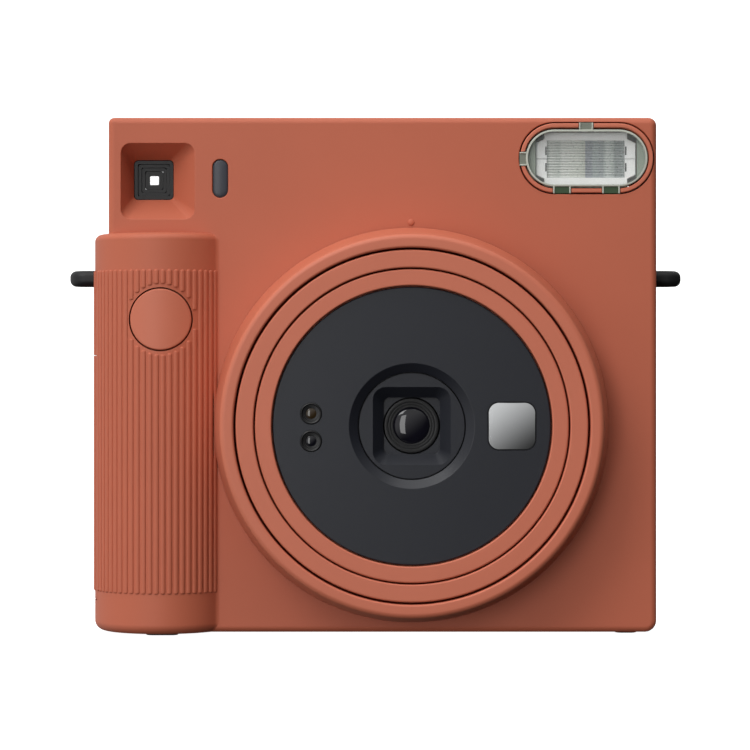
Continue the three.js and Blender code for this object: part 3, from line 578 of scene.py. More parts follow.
def lens_barrels():
    """Two sleeves in the ring. The inner one has a shelf that the front plate lies on."""
    barrel("middle_sleeve", 39.7, 35.7, -13.7, "middle", "middle_barrel")
    bore, shelf_bore, shelf_y, shelf_back = 31.65, 16.0, -10.3, -8.8
    barrel("inner_sleeve", 35.35, bore, -13.4, "lens", "inner_barrel",
           [(bore, shelf_back, 0), (shelf_bore, shelf_back, 0), (shelf_bore, shelf_y, 0),
            (bore, shelf_y, 0)])


PLATE_Y = -12.6
CONE_RADIUS = 14.15
HOOD_RADIUS = 11.9
HOOD_Y = -11.2


def faceplate():
    """The front disc, with a cone that leads in to the hood."""
    back, neck_back, neck, bore = -10.6, -9.2, 15.6, 12.2
    disc = turned(filleted([
        (CONE_RADIUS, PLATE_Y, 0.25), (PLATE_RADIUS, PLATE_Y, 0.3), (PLATE_RADIUS, back, 0),
        (neck, back, 0), (neck, neck_back, 0), (bore, neck_back, 0), (bore, HOOD_Y, 0.15)], 5),
        steps=160)
    mirror_seat = rect_slab(11.1, 11.1, 2.6, MIRROR, [(-14.0, 0.0), (-11.7, 0.0)])
    seats = [rod(2.5, -14.0, -11.4, across(node), steps=40)
             for node in ("light_sensor_upper", "light_sensor_lower")]
    finished("front_plate", cut(disc, mirror_seat, *seats), "charcoal_plastic", "lens",
             ["lens_faceplate"])


def mirror():
    """A square mirror whose face is slightly domed, with a bevelled edge."""
    size, corner, reach = 10.5, 2.4, 8.0
    crown, rise = PLATE_Y - 0.36, 0.28
    back = PLATE_Y + 0.6
    steps = 24
    radii = [reach * i / steps for i in range(steps + 1)]
    dome = [(r, crown + rise * (r / (size / 2)) ** 2) for r in radii]
    face = turned([*dome, (reach, back), (0, back)], MIRROR, 96)
    square = rect_slab(size, size, corner, MIRROR,
                       [(PLATE_Y - 0.5, 0.2), (PLATE_Y + 0.1, 0.0), (back + 0.1, 0.0)], 10)
    finished("portrait_mirror", common(face, square), "mirror", "lens", ["selfie_mirror"])


def light_sensors():
    """Small stepped wells, each with a domed lens at the bottom."""
    for level in ("upper", "lower"):
        node = f"light_sensor_{level}"
        place = across(node)
        bezel = turned([(2.45, -11.5), (2.45, -12.5), (2.2, -12.62), (1.95, -12.5), (1.9, -12.1),
                        (1.5, -12.05), (1.45, -11.8), (1.1, -11.75), (1.1, -11.5)], place, 48)
        finished(f"sensor_bezel_{level}", bezel, "black_plastic", "lens",
                 material=materials["lens_black"])
        radius, rise, edge_y, back = 1.42, 0.42, -11.55, -11.4
        dome = [(radius * math.sin(t), edge_y - rise * math.cos(t))
                for t in [math.radians(15 * i) for i in range(7)]]
        lens = turned([*dome, (radius, back), (0, back)], place, 40)
        glass = materials["amber_glass" if level == "upper" else "lens_glass"]
        finished(f"sensor_lens_{level}", lens, "lens_glass", "lens", [node], material=glass)


def hood():
    """The round cup behind the cone, with a square well that narrows to the lens."""
    flange, flange_y, flange_back = 14.2, -8.9, -7.6
    stem, stem_back = 9.5, -5.0
    cup = turned([(0, HOOD_Y), (HOOD_RADIUS, HOOD_Y), (HOOD_RADIUS, flange_y), (flange, flange_y),
                  (flange, flange_back), (stem, flange_back), (stem, stem_back), (0, stem_back)],
                 steps=96)
    opening, throat = 17.6, 12.8
    well_steps = [(-12.0, 18.2, 3.2), (HOOD_Y, opening, 2.9), (-9.0, 13.6, 1.6),
                  (-8.6, throat, 1.3), (-8.0, throat, 1.3)]
    well = loft([[(x, y, z) for x, z in rounded_rect(side, side, corner, AXIS, 6)]
                 for y, side, corner in well_steps])
    bore = rod(6.5, -9.0, -4.0, AXIS)
    finished("hood_cup", cut(cup, well, bore), "charcoal_plastic", "lens", ["lens_hood"])


def front_glass():
    """The lens group seen from the front: stepped retaining rings round a deep domed lens."""
    thick = 0.9
    rings = [turned(filleted([(inner, y, 0.05), (outer, y, 0.1), (outer, y + thick, 0),
                              (inner, y + thick, 0)], 3), steps=96)
             for inner, outer, y in ((5.35, 6.2, -7.7), (4.75, 5.4, -7.35), (4.15, 4.8, -7.05))]
    finished("lens_retainers", together(*rings), "black_plastic", "lens",
             material=materials["lens_black"])
    radius, rise, seat_y, back, steps = 4.2, 1.15, -6.75, -5.4, 14
    reach = 0.96                        # the dome stops a little short of a full quarter turn
    dome = [(radius * i / steps, seat_y - rise * math.sqrt(1 - (i / steps) ** 2 * reach))
            for i in range(steps + 1)]
    glass = turned([*dome, (radius, back), (0, back)], steps=96)
    finished("front_element", glass, "lens_glass", "lens", ["front_lens"])


# ------------------------------------------------------------------ covers

BODY_WIDTH, BODY_HEIGHT = BODY_RIGHT - BODY_LEFT, BODY_TOP - BODY_BOTTOM
BODY_CENTRE = ((BODY_LEFT + BODY_RIGHT) / 2, (BODY_TOP + BODY_BOTTOM) / 2)
BODY_CORNERS = (1.8, 1.3, 2.0, 2.6)     # top right, top left, bottom left, bottom right
FRONT_ROUND, REAR_ROUND, SEAM_ROUND = 1.5, 1.8, 0.2
GRIP_TOP_ROUND, GRIP_FOOT_ROUND = 1.6, 2.2
PIN_BORE_RADIUS = 0.8
FAR = 200.0                             # past the object on every side


def body_outline(inset):
    radii = tuple(max(r - inset, 0.3) for r in BODY_CORNERS)
    return rounded_rect(BODY_WIDTH - 2 * inset, BODY_HEIGHT - 2 * inset, radii, BODY_CENTRE, 6)


def grip_plan(inset, rear_y):
    """The grip from above: flat side, round front, and a hollow curve into the front face."""
    x, y = GRIP_CENTRE
    reach = GRIP_RADIUS + GRIP_FADE
    fade_x = x + math.sqrt(reach ** 2 - (y + GRIP_FADE) ** 2)
    meet = math.degrees(math.asin((y + GRIP_FADE) / reach))
    return [(x - GRIP_RADIUS + inset, rear_y),
            *arc((x, y), GRIP_RADIUS - inset, 180, 360 - meet, 48),
            *arc((fade_x, -GRIP_FADE), GRIP_FADE + inset, 180 - meet, 90, 6)[1:],
            (fade_x, rear_y)]


def grip_rear_plan(inset, front_y):
    """The grip's rear end from above: the flat side turns into the back."""
    radius = GRIP_REAR_RADIUS - inset
    x, y = GRIP_LEFT + GRIP_REAR_RADIUS, BACK_Y - GRIP_REAR_RADIUS
    return [(x + 1, front_y), (x + 1, y + radius), *arc((x, y), radius, 90, 180, 16),
            (x - radius, front_y)]


def grip_column(inset, rear_y):
    levels = rounded_ends(BODY_BOTTOM + inset, GRIP_TOP - inset,
                          GRIP_FOOT_ROUND, GRIP_TOP_ROUND, 8)
    return column(lambda more: grip_plan(inset + more, rear_y), levels)


def grip_front_y(x, inset=0.0):
    """Where the grip's round front lies at a given x."""
    return GRIP_CENTRE[1] - math.sqrt((GRIP_RADIUS - inset) ** 2 - (x - GRIP_CENTRE[0]) ** 2)


def stadium(width, height, centre):
    """shape(inset) for a bar with round ends; a negative inset grows it."""
    def shape(inset):
        w, h = width - 2 * inset, height - 2 * inset
        return rounded_rect(w, h, min(w, h) / 2 - 0.01, centre, 16)
    return shape


def mouth(depth, edge=0.25):
    """Levels of a cutter that leaves a rounded edge where it enters the front face."""
    rounding = [(edge * (1 - math.cos(t)), -edge * (1 - math.sin(t)))
                for t in [math.radians(a) for a in (0, 22, 45, 68, 90)]]
    return [(-1.0, -edge), *rounding, (depth, 0.0)]


SCREW_PLACES = [across(f"casing_screw_{i}") for i in (1, 2)]
RECESS_CENTRE, RECESS_SIZE, RECESS_DEPTH = (-50.1, 104.3), (16.8, 17.3), 6.0
FINDER_WINDOW = 9.3


def finder_recess():
    """The four-sided funnel in front of the viewfinder, from a rounded mouth to the window."""
    steps = [(y, 0.0, -inset) for y, inset in mouth(0.6)]
    steps += [(RECESS_DEPTH, 1.0, 0.0), (10.0, 1.0, 0.0)]
    rings = []
    for y, share, grow in steps:
        width = RECESS_SIZE[0] + (FINDER_WINDOW - RECESS_SIZE[0]) * share + 2 * grow
        height = RECESS_SIZE[1] + (FINDER_WINDOW - RECESS_SIZE[1]) * share + 2 * grow
        centre = tuple(a + (b - a) * share for a, b in zip(RECESS_CENTRE, FINDER))
        corner = 2.2 + (1.0 - 2.2) * share + grow
        rings.append([(x, y, z) for x, z in rounded_rect(width, height, corner, centre, 8)])
    return loft(rings)


def front_room():
    """The hollow of the front cover, less the posts and walls that stand in it."""
    body = slab(body_outline, [(WALL, WALL), (SPLIT_Y + 1, WALL)])
    grip = column(lambda inset: grip_plan(WALL, SPLIT_Y + 1),
                  [(BODY_BOTTOM + WALL, 0), (GRIP_TOP - WALL, 0)])
    posts = [rod(2.6, 0.5, SPLIT_Y + 4, place, steps=24) for place in SCREW_PLACES]
    finder_wall = rect_slab(19.2, 20.1, 1.0, RECESS_CENTRE, [(0.5, 0), (RECESS_DEPTH + 2, 0)])
    button_wall = rod(9.2, -GRIP_SWELL - 2, -0.5, BUTTON, steps=48)
    return cut(join(body, grip), *posts, finder_wall, button_wall)


def lug_slots():
    width, height = 4.3, 8.6
    y, z = middle("strap_lug_left").y - FRONT_SHIFT, middle("strap_lug_left").z
    return [block((x - 4, x + 4), (y - height / 2, y + height / 2), (z - width / 2, z + width / 2))
            for x in (GRIP_LEFT, BODY_RIGHT)]


def door_opening():
    """Where the battery door lies in the grip's side, with a small gap all round it."""
    start, end = low("battery_door"), high("battery_door")
    return block((GRIP_LEFT - 2, GRIP_LEFT + 3.8),
                 (start.y - FRONT_SHIFT - GAP, end.y - FRONT_SHIFT + GAP),
                 (start.z - GAP, end.z + HATCH_GAP))


def exit_slot():
    start, end = low("exit_flap"), high("exit_flap")
    x_room = 1.1
    return block((start.x + x_room, end.x - x_room),
                 (start.y - FRONT_SHIFT - GAP, end.y - FRONT_SHIFT + GAP), (BODY_TOP - 3, FAR))


def front_cover():
    blank = join(slab(body_outline, rounded_ends(0, SPLIT_Y, FRONT_ROUND, SEAM_ROUND)),
                 grip_column(0, SPLIT_Y))
    ring_clearance = 0.6
    cover = cut(
        blank, front_room(),
        rod(42.0, -1, WALL + 1, AXIS, steps=128),
        rod(RING_RADIUS + ring_clearance, -GRIP_SWELL - 1, -0.004, AXIS, steps=192),
        finder_recess(),
        slab(stadium(31.2, 16.6, FLASH), mouth(WALL + 0.5)),
        slab(stadium(3.6, 8.85, SENSOR), mouth(WALL + 0.5, 0.25)),
        rod(BUTTON_RADIUS + GAP, -12, 5, BUTTON, steps=96),
        door_opening(), exit_slot(), *lug_slots())
    finished("front_shell", cover, "cover_plastic", "root", ["front_cover"])


def pin_bore(x, y, bottom=-FAR, top=FAR):
    """A hole for a hinge pin."""
    return column(lambda inset: circle(PIN_BORE_RADIUS, (x, y), 20), [(bottom, 0), (top, 0)])


def rear_cover():
    front_y = SPLIT_Y + SEAM_GAP
    levels = rounded_ends(BODY_BOTTOM, GRIP_TOP, GRIP_FOOT_ROUND, GRIP_TOP_ROUND, 8)
    blank = join(slab(body_outline, rounded_ends(front_y, BACK_Y, SEAM_ROUND, REAR_ROUND)),
                 column(lambda inset: grip_rear_plan(inset, front_y), levels))
    room = join(slab(body_outline, [(front_y - 1, WALL), (BACK_Y - WALL, WALL)]),
                column(lambda inset: grip_rear_plan(WALL, front_y - 1),
                       [(BODY_BOTTOM + WALL, 0), (GRIP_TOP - WALL, 0)]))
    door_low, door_high = low("film_door"), high("film_door")
    opening = block((door_low.x - GAP, door_high.x + GAP), (BACK_Y - WALL - 1, FAR),
                    (door_low.z - GAP, door_high.z + GAP))
    pin = middle("door_hinge_pin")
    bore = pin_bore(pin.x, pin.y - FRONT_SHIFT, 2.8, 110.0)
    eyepiece_hole = rect_slab(13.2, 13.2, 0.4, FINDER, [(38, 0), (FAR, 0)])
    counter_hole = rect_slab(5.6, 5.6, 0.5, across("counter_window"), [(38, 0), (FAR, 0)])
    heads = [rod(2.4, BACK_Y - 1.1, FAR, place, steps=32) for place in SCREW_PLACES]
    shanks = [rod(1.3, 30, FAR, place, steps=24) for place in SCREW_PLACES]
    cover = cut(blank, room, opening, bore, eyepiece_hole, counter_hole, *heads, *shanks)
    finished("rear_shell", cover, "cover_plastic", "root", ["rear_cover"])


def battery_cover():
    """The door in the grip's side: a piece of the grip's own wall, with its hinge barrel."""
    start, end = low("battery_door"), high("battery_door")
    hinge = middle("battery_door_pin")
    hinge_x, hinge_y = hinge.x, hinge.y - FRONT_SHIFT
    wall = cut(grip_column(0, SPLIT_Y), column(lambda inset: grip_plan(WALL, SPLIT_Y + 1),
                                               [(-FAR, 0), (FAR, 0)]))
    plate = common(wall, block((GRIP_LEFT - 2, GRIP_LEFT + 3.8),
                               (start.y - FRONT_SHIFT, hinge_y), (start.z, end.z)))
    barrel_radius = 1.25
    barrel = column(lambda inset: circle(barrel_radius - inset, (hinge_x, hinge_y), 32),
                    rounded_ends(start.z, end.z, 0.2, 0.2, 3))
    bore = pin_bore(hinge_x, hinge_y)
    finished("battery_hatch", cut(join(plate, barrel), bore), "cover_plastic", "battery_cover",
             ["battery_door"])


def index_dot():
    """A small dome moulded on the front face above the ring."""
    place = (AXIS[0], AXIS[1] + RING_RADIUS + 1.2)
    rise, radius, steps = 0.3, 0.8, 8
    dome = [(radius * i / steps, -rise * math.sqrt(1 - (i / steps) ** 2))
            for i in range(steps + 1)]
    finished("index_dot", turned([*dome, (radius, 0.5), (0, 0.5)], place, 40),
             "cover_plastic", "root")


def release_button():
    """A round cap whose face follows the grip, with a softened rim."""
    edge, rings, spokes = 0.3, 14, 96
    shares = [i / rings for i in range(1, rings)] + [1 - edge / BUTTON_RADIUS * (1 - math.sin(t))
                                                    for t in (0.0, 0.4, 0.8, 1.2, math.pi / 2)]
    rows = []
    for share in sorted(set(shares)):
        radius = BUTTON_RADIUS * share
        into = max(0.0, (radius - BUTTON_RADIUS + edge) / edge)
        drop = edge * (1 - math.sqrt(max(0.0, 1 - into ** 2)))
        rows.append([(x, grip_front_y(x) + drop, z) for x, z in circle(radius, BUTTON, spokes)])
    flange, flange_y, back = BUTTON_RADIUS + 1.4, -0.2, 1.0
    for radius, y in ((BUTTON_RADIUS, flange_y), (flange, flange_y), (flange, back)):
        rows.append([(x, y, z) for x, z in circle(radius, BUTTON, spokes)])
    finished("release_cap", loft(rows), "ring_plastic", "button", ["shutter_button"], sharp=50)


# ------------------------------------------------------------------ ribs of the grip

RIB_PITCH, RIB_HALF_WIDTH, RIB_HEIGHT, RIB_END = 1.5, 0.6, 0.32, 0.55
RIB_LOW, RIB_HIGH = 9.7, 83.8
RIB_BUTTON_RADIUS = 8.0


def new_tree(name, sizes, counts=()):
    """An empty geometry tree with named inputs: sizes, whole numbers and a finish."""
    tree = bpy.data.node_groups.new(name, "GeometryNodeTree")
    tree.interface.new_socket("Geometry", in_out="INPUT", socket_type="NodeSocketGeometry")
    for kind, inputs in (("NodeSocketFloat", sizes), ("NodeSocketInt", counts)):
        for input_name, value in inputs:
            made = tree.interface.new_socket(input_name, in_out="INPUT", socket_type=kind)
            made.default_value = value
    tree.interface.new_socket("Finish", in_out="INPUT", socket_type="NodeSocketMaterial")
    tree.interface.new_socket("Geometry", in_out="OUTPUT", socket_type="NodeSocketGeometry")
    return tree


def node_adder(tree):
    """A function that adds a node to the tree: its settings, then its sockets' values or links."""
    def add(kind, settings=None, inputs=None):
        made = tree.nodes.new(kind)
        for key, value in (settings or {}).items():
            setattr(made, key, value)
        for key, value in (inputs or {}).items():
            if isinstance(value, bpy.types.NodeSocket):
                tree.links.new(value, made.inputs[key])
            else:
                made.inputs[key].default_value = value
        return made
    return add


def rib_tree():
    """Stands a rounded rib on every point of a plan line, cut short round the button."""
    tree = new_tree("grip_ribs", (
        ("Half Width", RIB_HALF_WIDTH), ("Height", RIB_HEIGHT), ("End Length", RIB_END),
        ("Low", RIB_LOW), ("High", RIB_HIGH), ("Button X", BUTTON[0]), ("Button Z", BUTTON[1]),
        ("Button Radius", RIB_BUTTON_RADIUS)))
    links = tree.links
    add = node_adder(tree)
    given = add("NodeGroupInput")

    def maths(operation, first, second=0.0):
        return add("ShaderNodeMath", {"operation": operation}, {0: first, 1: second}).outputs[0]

    # one rib is a long dome: a ball squeezed to the rib's section, whose two ends are drawn apart
    ball = add("GeometryNodeMeshUVSphere", {}, {"Segments": 12, "Rings": 7, "Radius": 1.0})
    size = add("ShaderNodeCombineXYZ", {}, {0: given.outputs["Half Width"],
                                            1: given.outputs["Height"],
                                            2: given.outputs["End Length"]})
    rib = add("GeometryNodeTransform", {}, {"Geometry": ball.outputs["Mesh"],
                                            "Scale": size.outputs[0]})
    spot = add("ShaderNodeSeparateXYZ", {}, {0: add("GeometryNodeInputPosition").outputs[0]})
    is_upper = maths("GREATER_THAN", spot.outputs["Z"])
    marked = add("GeometryNodeStoreNamedAttribute", {"data_type": "FLOAT", "domain": "POINT"},
                 {"Geometry": rib.outputs[0], "Name": "upper_end", "Value": is_upper})

    # half the height of the button's clear circle at this rib, or 0 beside it
    across = maths("SUBTRACT", spot.outputs["X"], given.outputs["Button X"])
    left = maths("SUBTRACT", maths("MULTIPLY", given.outputs["Button Radius"],
                                   given.outputs["Button Radius"]),
                 maths("MULTIPLY", across, across))
    clear = maths("SQRT", maths("MAXIMUM", left, 0.0))
    split = maths("GREATER_THAN", clear, 0.01)
    lower_top = maths("SUBTRACT", given.outputs["Button Z"], clear)
    upper_low = maths("ADD", given.outputs["Button Z"], clear)

    def mix(where_split, otherwise):
        blended = add("ShaderNodeMix", {"data_type": "FLOAT"}, {0: split})
        links.new(otherwise, blended.inputs[2])
        links.new(where_split, blended.inputs[3])
        return blended.outputs[0]

    ribs = []
    normal = add("GeometryNodeInputNamedAttribute", {"data_type": "FLOAT_VECTOR"},
                 {"Name": "outward"}).outputs["Attribute"]
    turn = add("FunctionNodeAlignRotationToVector", {"axis": "Y", "pivot_axis": "Z"},
               {"Vector": normal})
    for is_upper_part in (False, True):
        bottom = upper_low if is_upper_part else given.outputs["Low"]
        top = given.outputs["High"] if is_upper_part else mix(lower_top, given.outputs["High"])
        points = given.outputs["Geometry"]
        for name, value in (("rib_low", bottom), ("rib_high", top)):
            store = add("GeometryNodeStoreNamedAttribute",
                        {"data_type": "FLOAT", "domain": "POINT"},
                        {"Geometry": points, "Name": name, "Value": value})
            points = store.outputs[0]
        placed = add("GeometryNodeInstanceOnPoints", {}, {
            "Points": points, "Instance": marked.outputs[0],
            "Rotation": turn.outputs[0]})
        if is_upper_part:
            links.new(split, placed.inputs["Selection"])
        ribs.append(placed.outputs[0])
    both = add("GeometryNodeJoinGeometry")
    for one in ribs:
        links.new(one, both.inputs[0])
    real = add("GeometryNodeRealizeInstances", {}, {0: both.outputs[0]})

    def stored(name):
        return add("GeometryNodeInputNamedAttribute", {"data_type": "FLOAT"},
                   {"Name": name}).outputs["Attribute"]

    # the upper end goes to the rib's top and the lower end to its bottom
    reach_up = maths("SUBTRACT", stored("rib_high"), given.outputs["End Length"])
    reach_low = maths("ADD", stored("rib_low"), given.outputs["End Length"])
    span = maths("MULTIPLY", stored("upper_end"), maths("SUBTRACT", reach_up, reach_low))
    offset = add("ShaderNodeCombineXYZ", {}, {2: maths("ADD", reach_low, span)})
    drawn = add("GeometryNodeSetPosition", {}, {0: real.outputs[0], "Offset": offset.outputs[0]})
    smooth = add("GeometryNodeSetShadeSmooth", {}, {0: drawn.outputs[0]})
    coated = add("GeometryNodeSetMaterial", {}, {0: smooth.outputs[0],
                                                 "Material": given.outputs["Finish"]})
    add("NodeGroupOutput", {}, {0: coated.outputs[0]})
    return tree


def rib_line():
    """Evenly spaced (x, y, outward) places along the grip's plan, from the front to the side."""
    x, y = GRIP_CENTRE
    first, last = math.radians(322), math.radians(180)
    pitch_turn = RIB_PITCH / GRIP_RADIUS
    places, turn = [], first
    while turn > last:
        places.append((x + GRIP_RADIUS * math.cos(turn), y + GRIP_RADIUS * math.sin(turn),
                       (math.cos(turn), math.sin(turn))))
        turn -= pitch_turn
    along = y + (last - turn) * GRIP_RADIUS
    while along < SPLIT_Y - 1.5:
        places.append((GRIP_LEFT, along, (-1.0, 0.0)))
        along += RIB_PITCH
    return places


def grown_solid(tree, points, inputs, outward=None):
    """Runs a geometry tree on some points, with inputs given by name, and returns the solid."""
    mesh = bpy.data.meshes.new("points")
    mesh.from_pydata(points, [], [])
    if outward:
        directions = mesh.attributes.new("outward", "FLOAT_VECTOR", "POINT")
        for i, direction in enumerate(outward):
            directions.data[i].vector = direction
    holder = bpy.data.objects.new("points", mesh)
    bpy.context.scene.collection.objects.link(holder)
    growing = holder.modifiers.new("growing", "NODES")
    growing.node_group = tree
    sockets = {s.name: s.identifier for s in tree.interface.items_tree if s.in_out == "INPUT"}
    for name, value in inputs.items():
        growing[sockets[name]] = value
    evaluated = holder.evaluated_get(bpy.context.evaluated_depsgraph_get())
    grown = bpy.data.meshes.new_from_object(evaluated)
    holder.modifiers.clear()
    bpy.data.meshes.remove(mesh)
    bm = bmesh.new()
    bm.from_mesh(grown)
    bpy.data.meshes.remove(grown)
    return bm


def ribs(name, places, body, tree, low_end, high_end, end_length=RIB_END):
    points = [(x, y, 0.0) for x, y, _ in places]
    outward = [(nx, ny, 0.0) for _, _, (nx, ny) in places]
    bm = grown_solid(tree, points, {"Low": low_end, "High": high_end, "End Length": end_length,
                                    "Finish": materials["cover_plastic"]}, outward)
    finished(name, bm, "cover_plastic", body, sharp=80)


def grip_ribs():
    """Ribs on the battery door stop at its edges and move with it. None cross its hinge."""
    hinge_room = 1.3
    tree = rib_tree()
    start, end = low("battery_door"), high("battery_door")
    hinge_y = middle("battery_door_pin").y - FRONT_SHIFT
    first_y, edge = start.y - FRONT_SHIFT, RIB_HALF_WIDTH
    hinge_low, hinge_high = hinge_y - hinge_room - edge, hinge_y + hinge_room + edge

    def on_door(place):
        return place[0] < GRIP_CENTRE[0] and first_y + edge < place[1] < hinge_low

    def between_edges(place):
        near_front = place[0] < GRIP_CENTRE[0] and abs(place[1] - first_y) < edge
        return near_front or hinge_low < place[1] < hinge_high

    line = rib_line()
    door_places = [p for p in line if on_door(p)]
    cover_places = [p for p in line if not on_door(p) and not between_edges(p)]
    ribs("grip_ribs", cover_places, "root", tree, RIB_LOW, RIB_HIGH)
    blunt = 0.12
    ribs("grip_ribs_above_hatch", door_places, "root", tree, end.z + HATCH_GAP, RIB_HIGH, blunt)
    ribs("hatch_ribs", door_places, "battery_cover", tree, RIB_LOW, end.z, blunt)


# ------------------------------------------------------------------ viewfinder and sensor window

def finder_lens(front_y, thick, back_round, steps):
    side, corner = 9.4, 0.3
    return rect_slab(side, side, corner, FINDER,
                     rounded_ends(front_y, front_y + thick, 0.3, back_round, steps))


def viewfinder_front():
    """Black stepped frames behind the window, round a clear sight hole, and the front lens."""
    outer_side, inner_sides, back = 9.2, (7.5, 5.9, 4.3), 8.6
    frames = []
    for outer, inner, y in ((outer_side, 7.4, 6.6), (inner_sides[0], 5.8, 7.1),
                            (inner_sides[1], 4.2, 7.5), (inner_sides[2], 2.1, 7.8)):
        corner = 1.1 if outer == outer_side else 0.7
        ring = rect_slab(outer, outer, corner, FINDER, rounded_ends(y, back, 0.12, 0, 3))
        hole_size = [(y - 1, inner + 0.5), (y + 0.1, inner), (9.0, inner)]
        hole = loft([[(x, at, z) for x, z in rounded_rect(side, side, 0.25, FINDER, 4)]
                     for at, side in hole_size])
        frames.append(cut(ring, hole))
    finished("finder_frames", together(*frames), "black_plastic", "root",
             material=materials["lens_black"])
    lens = finder_lens(8.9, 1.5, 0.3, 3)
    finished("finder_front_element", lens, "clear_plastic", "root", ["viewfinder_front_lens"])


def eyepiece():
    """The soft frame to look through at the back, and the lens inside it."""
    size = high("eyepiece_rim").x - low("eyepiece_rim").x
    levels = rounded_ends(BACK_Y + GAP, high("eyepiece_rim").y - FRONT_SHIFT, 0.2, 0.9, 6)
    rim = rect_slab(size, size, 3.0, FINDER, levels)
    neck = rect_slab(12.5, 12.5, 0.5, FINDER, [(BACK_Y - 2.6, 0), (BACK_Y + 1.0, 0)])
    hole_levels = [(BACK_Y - 6, 0.0), (BACK_Y + 0.9, 0.0), (BACK_Y + 3, -0.9)]
    hole = rect_slab(10.0, 10.0, 1.0, FINDER, hole_levels)
    finished("eyepiece_cup", cut(join(rim, neck), hole), "black_rubber", "root",
             ["eyepiece_rim"])
    lens_low = low("viewfinder_rear_lens").y - FRONT_SHIFT
    lens = finder_lens(lens_low, 1.6, 0.5, 4)
    finished("finder_rear_element", lens, "clear_plastic", "root", ["viewfinder_rear_lens"])


def light_window():
    """The smoked window beside the viewfinder, a little domed."""
    shape = stadium(3.45, 8.7, SENSOR)
    levels = [(0.12, 1.6), (0.14, 1.2), (0.2, 0.6), (0.3, 0.2), (0.45, 0.0), (1.8, 0.0)]
    finished("light_window", slab(shape, levels), "smoked_window", "root", ["sensor_window"])


# ------------------------------------------------------------------ flash

# each clip's centre from the flash's centre in x and z, then its width and its height
FLASH_CLIPS = [(-0.15, 7.3, 3.3, 1.7), (-14.6, -0.2, 1.7, 3.2),
               (-5.7, -7.3, 4.1, 1.7), (5.6, -7.3, 4.1, 1.7)]
TRIM_OUTER, TRIM_INNER = (30.6, 16.0), (28.6, 13.9)


def clip_box(clip, grow, levels):
    x, z, width, height = clip
    return rect_slab(width + 2 * grow, height + 2 * grow, 0.25, (FLASH[0] + x, FLASH[1] + z),
                     levels, 3)


def flash_trim():
    ring = cut(slab(stadium(*TRIM_OUTER, FLASH), rounded_ends(-0.3, WALL, 0.3, 0, 4)),
               slab(stadium(*TRIM_INNER, FLASH), mouth(WALL + 1, 0.2)))
    notches = [clip_box(clip, 0.12, [(-1, 0), (1.0, 0)]) for clip in FLASH_CLIPS]
    finished("flash_surround", cut(ring, *notches), "ring_plastic", "root", ["flash_trim"])


def flash_clips():
    """Moulded tabs of the clear window that hook over the surround, each with raised sides."""
    # the lower tabs take a darker, greener copy of the tab colour as painted shade; the upper and
    # left tabs keep the lighter colour
    for name, paint, clips in (("window_tabs", "window_tab", FLASH_CLIPS[:2]),
                               ("window_tabs_below", "window_tab_painted_shade", FLASH_CLIPS[2:])):
        tabs = [clip_box(clip, 0.0, rounded_ends(0.0, 0.9, 0.1, 0, 3)) for clip in clips]
        finished(name, together(*tabs), "clear_plastic", "root", material=materials[paint])
    sides = []
    thick, inward = 0.36, 0.2
    for x, z, width, height in FLASH_CLIPS:
        along_x = width > height
        reach = (width if along_x else height) / 2 - inward
        for side in (-1, 1):
            shift = (side * reach, 0) if along_x else (0, side * reach)
            size = (thick, height) if along_x else (width, thick)
            sides.append(rect_slab(*size, 0.12, (FLASH[0] + x + shift[0], FLASH[1] + z + shift[1]),
                                   rounded_ends(-0.3, 0.6, 0.12, 0, 3), 3))
    # the raised sides' light grey paints the highlight on the tabs' edges
    finished("window_tab_edges", together(*sides), "clear_plastic", "root",
             material=materials["painted_edge_highlight"])


def flash_window():
    """The clear pane, its rim of painted highlight, the pale bed behind it and a black plate standing
    in for shade behind the gap.
    """
    shape = stadium(28.0, 13.1, FLASH)
    levels = [(0.0, 0.9), (0.02, 0.7), *rounded_ends(-0.28, 1.2, 0.28, 0.1, 4)]
    finished("flash_pane", slab(shape, levels), "clear_plastic", "root", ["flash_window"])
    # the rim's light grey paints the highlight along the pane's edge
    rim = cut(slab(shape, rounded_ends(-0.3, 1.15, 0.2, 0, 3)),
              slab(stadium(27.1, 12.2, FLASH), [(-2, 0), (3, 0)]))
    growth = 1.0006                     # keeps the rim's outside clear of the pane's
    bmesh.ops.scale(rim, vec=(growth, 1.0, growth), verts=rim.verts,
                    space=Matrix.Translation((-FLASH[0], 0, -FLASH[1])))
    finished("flash_pane_rim", rim, "clear_plastic", "root", material=materials["painted_edge_highlight"])
    bed = cut(slab(stadium(28.2, 13.4, FLASH), [(1.5, 0), (2.3, 0)]),
              rect_slab(23.4, 12.5, 0.8, FLASH, [(0, 0), (4, 0)]))
    finished("flash_bed", bed, "clear_plastic", "root", material=materials["window_bed"])
    # a black plate behind the gap: a dark sheet standing in for the shade inside the body
    backing = cut(slab(stadium(31.4, 16.8, FLASH), rounded_ends(2.1, 2.5, 0.1, 0, 2)),
                  rect_slab(25.6, 13.4, 0.8, FLASH, [(0, 0), (4, 0)]))
    finished("flash_backing", backing, "black_plastic", "root")


